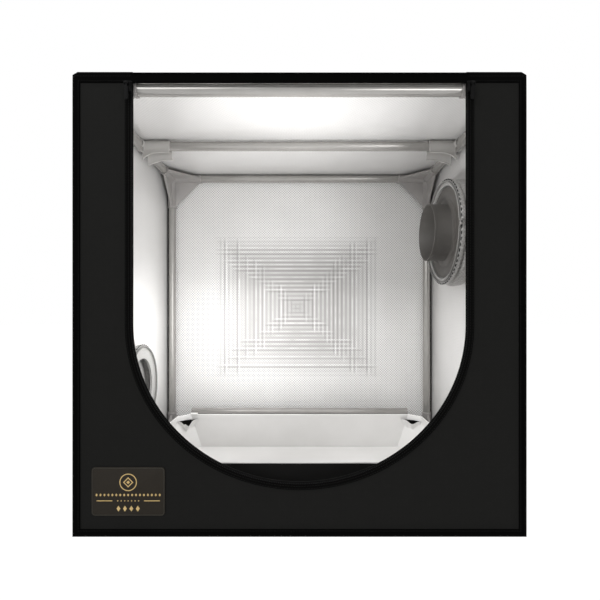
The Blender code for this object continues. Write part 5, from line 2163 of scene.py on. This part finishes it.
@dataclass
class Studio:
    """Camera, floor and lights."""

    distance: float = 0.7851
    eye_height: float = 0.293
    focal_px: float = 439.0
    axis_px: Point2 = (299.5, 315.0)
    frame_px: float = 600.0
    sensor: float = 36.0
    floor_reach: float = 12.0
    floor_drop: float = 0.5 * MM
    floor_grey: tuple[float, float, float] = (0.85, 0.85, 0.85)
    glow_share: float = 0.8
    glow_power: float = 1.22
    surround: float = 0.2

    def build(self) -> None:
        """Make the camera, then what stands round the tent."""
        self.camera()
        self.floor()
        self.lights()

    def camera(self) -> None:
        """The photograph's level camera, straight in front of the door."""
        data = bpy.data.cameras.new("camera")
        data.sensor_width = self.sensor
        data.lens = self.focal_px / self.frame_px * self.sensor
        data.shift_x = (self.frame_px / 2 - self.axis_px[0]) / self.frame_px
        data.shift_y = (self.axis_px[1] - self.frame_px / 2) / self.frame_px
        data.clip_start, data.clip_end = 0.01, 100
        eye = bpy.data.objects.new("camera", data)
        eye.location = (0, -self.distance, self.eye_height)
        eye.rotation_euler = (math.pi / 2, 0, 0)
        bpy.context.scene.collection.objects.link(eye)
        bpy.context.scene.camera = eye

    def floor(self) -> None:
        """A white floor that turns to plain white for the eye and keeps the shadow."""
        mesh = bpy.data.meshes.new("studio_floor")
        reach = self.floor_reach
        corners = [(x, y, 0) for x, y in rectangle(-reach, -reach, reach, reach)]
        mesh.from_pydata(corners, [], [(0, 1, 2, 3)])
        floor = bpy.data.objects.new("studio_floor", mesh)
        floor.location.z = -self.floor_drop
        bpy.context.scene.collection.objects.link(floor)
        material = bpy.data.materials.new("studio_white")
        material.use_nodes = True
        tree = material.node_tree
        shader = tree.nodes["Principled BSDF"]
        fill(tree, shader, {"Base Color": (*self.floor_grey, 1), "Roughness": 0.9,
                            "Specular IOR Level": 0.0})
        share = add_node(tree, "ShaderNodeMath", {0: followed(tree), 1: self.glow_share},
                         operation="MULTIPLY")
        glow = add_node(tree, "ShaderNodeEmission", {"Color": WHITE, "Strength": self.glow_power})
        mixed = add_node(tree, "ShaderNodeMixShader", {0: share, 1: shader, 2: glow})
        fill(tree, tree.nodes["Material Output"], {"Surface": mixed})
        mesh.materials.append(material)

    def lights(self) -> None:
        """Soft boxes in front and above, and an even white surround."""
        world = bpy.data.worlds.new("studio_world")
        bpy.context.scene.world = world
        world.use_nodes = True
        tree = world.node_tree
        strength = add_node(tree, "ShaderNodeMapRange", {"Value": followed(tree),
                                                         "To Min": self.surround})
        fill(tree, tree.nodes["Background"], {"Strength": strength, "Color": WHITE})
        lamps = (("key", (0.7, -2.0, 0.25), (-0.05, 0.1, 0.35), 0.7, 9.5),
                 ("fill", (-1.2, -2.2, 1.4), (0, 0, 0.3), 1.6, 27.0),
                 ("roof", (0.0, -0.14, 0.36), (0.0, -0.15, 0.6), 0.1, 1.12),
                 ("tray", (-0.05, -0.05, 0.42), (-0.05, -0.12, 0.0), 0.3, 0.62),
                 ("left", (-0.12, 0.0, 0.25), (-0.25, 0.2, 0.27), 0.15, 0.6),
                 ("right", (0.1, -0.02, 0.22), (0.22, 0.2, 0.16), 0.15, 0.22))
        for name, place, target, size, power in lamps:
            data = bpy.data.lights.new(name, "AREA")
            data.size = size
            data.energy = power
            lamp = bpy.data.objects.new(name, data)
            lamp.location = place
            lamp.visible_camera = False
            lamp.visible_glossy = size > 0.5
            aim = Vector(target) - Vector(place)
            lamp.rotation_euler = aim.to_track_quat("-Z", "Y").to_euler()
            bpy.context.scene.collection.objects.link(lamp)


def main() -> None:
    """Build every sub-assembly in order."""
    logging.basicConfig(level=logging.INFO, format="%(message)s")
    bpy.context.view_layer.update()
    Studio().build()
    Skeleton().build()
    Shell().build()
    ZipFront().build()
    Door().build()
    Port("right", 1, radius=88 * MM, reach=40 * MM, bulge=4 * MM, bore=81.4 * MM, pleats=72,
         belly=3.6 * MM, sag=3.5 * MM).build()
    Port("left", -1, radius=64 * MM, reach=16 * MM, bulge=11 * MM, bore=50 * MM, pleats=46,
         belly=0.0, sag=0.0).build()
    Sock().build()
    DuctFlange().build()
    Tray().build()
    Patch().build()
    bpy.context.scene.view_settings.view_transform = "Standard"


if __name__ == "__main__":
    main()
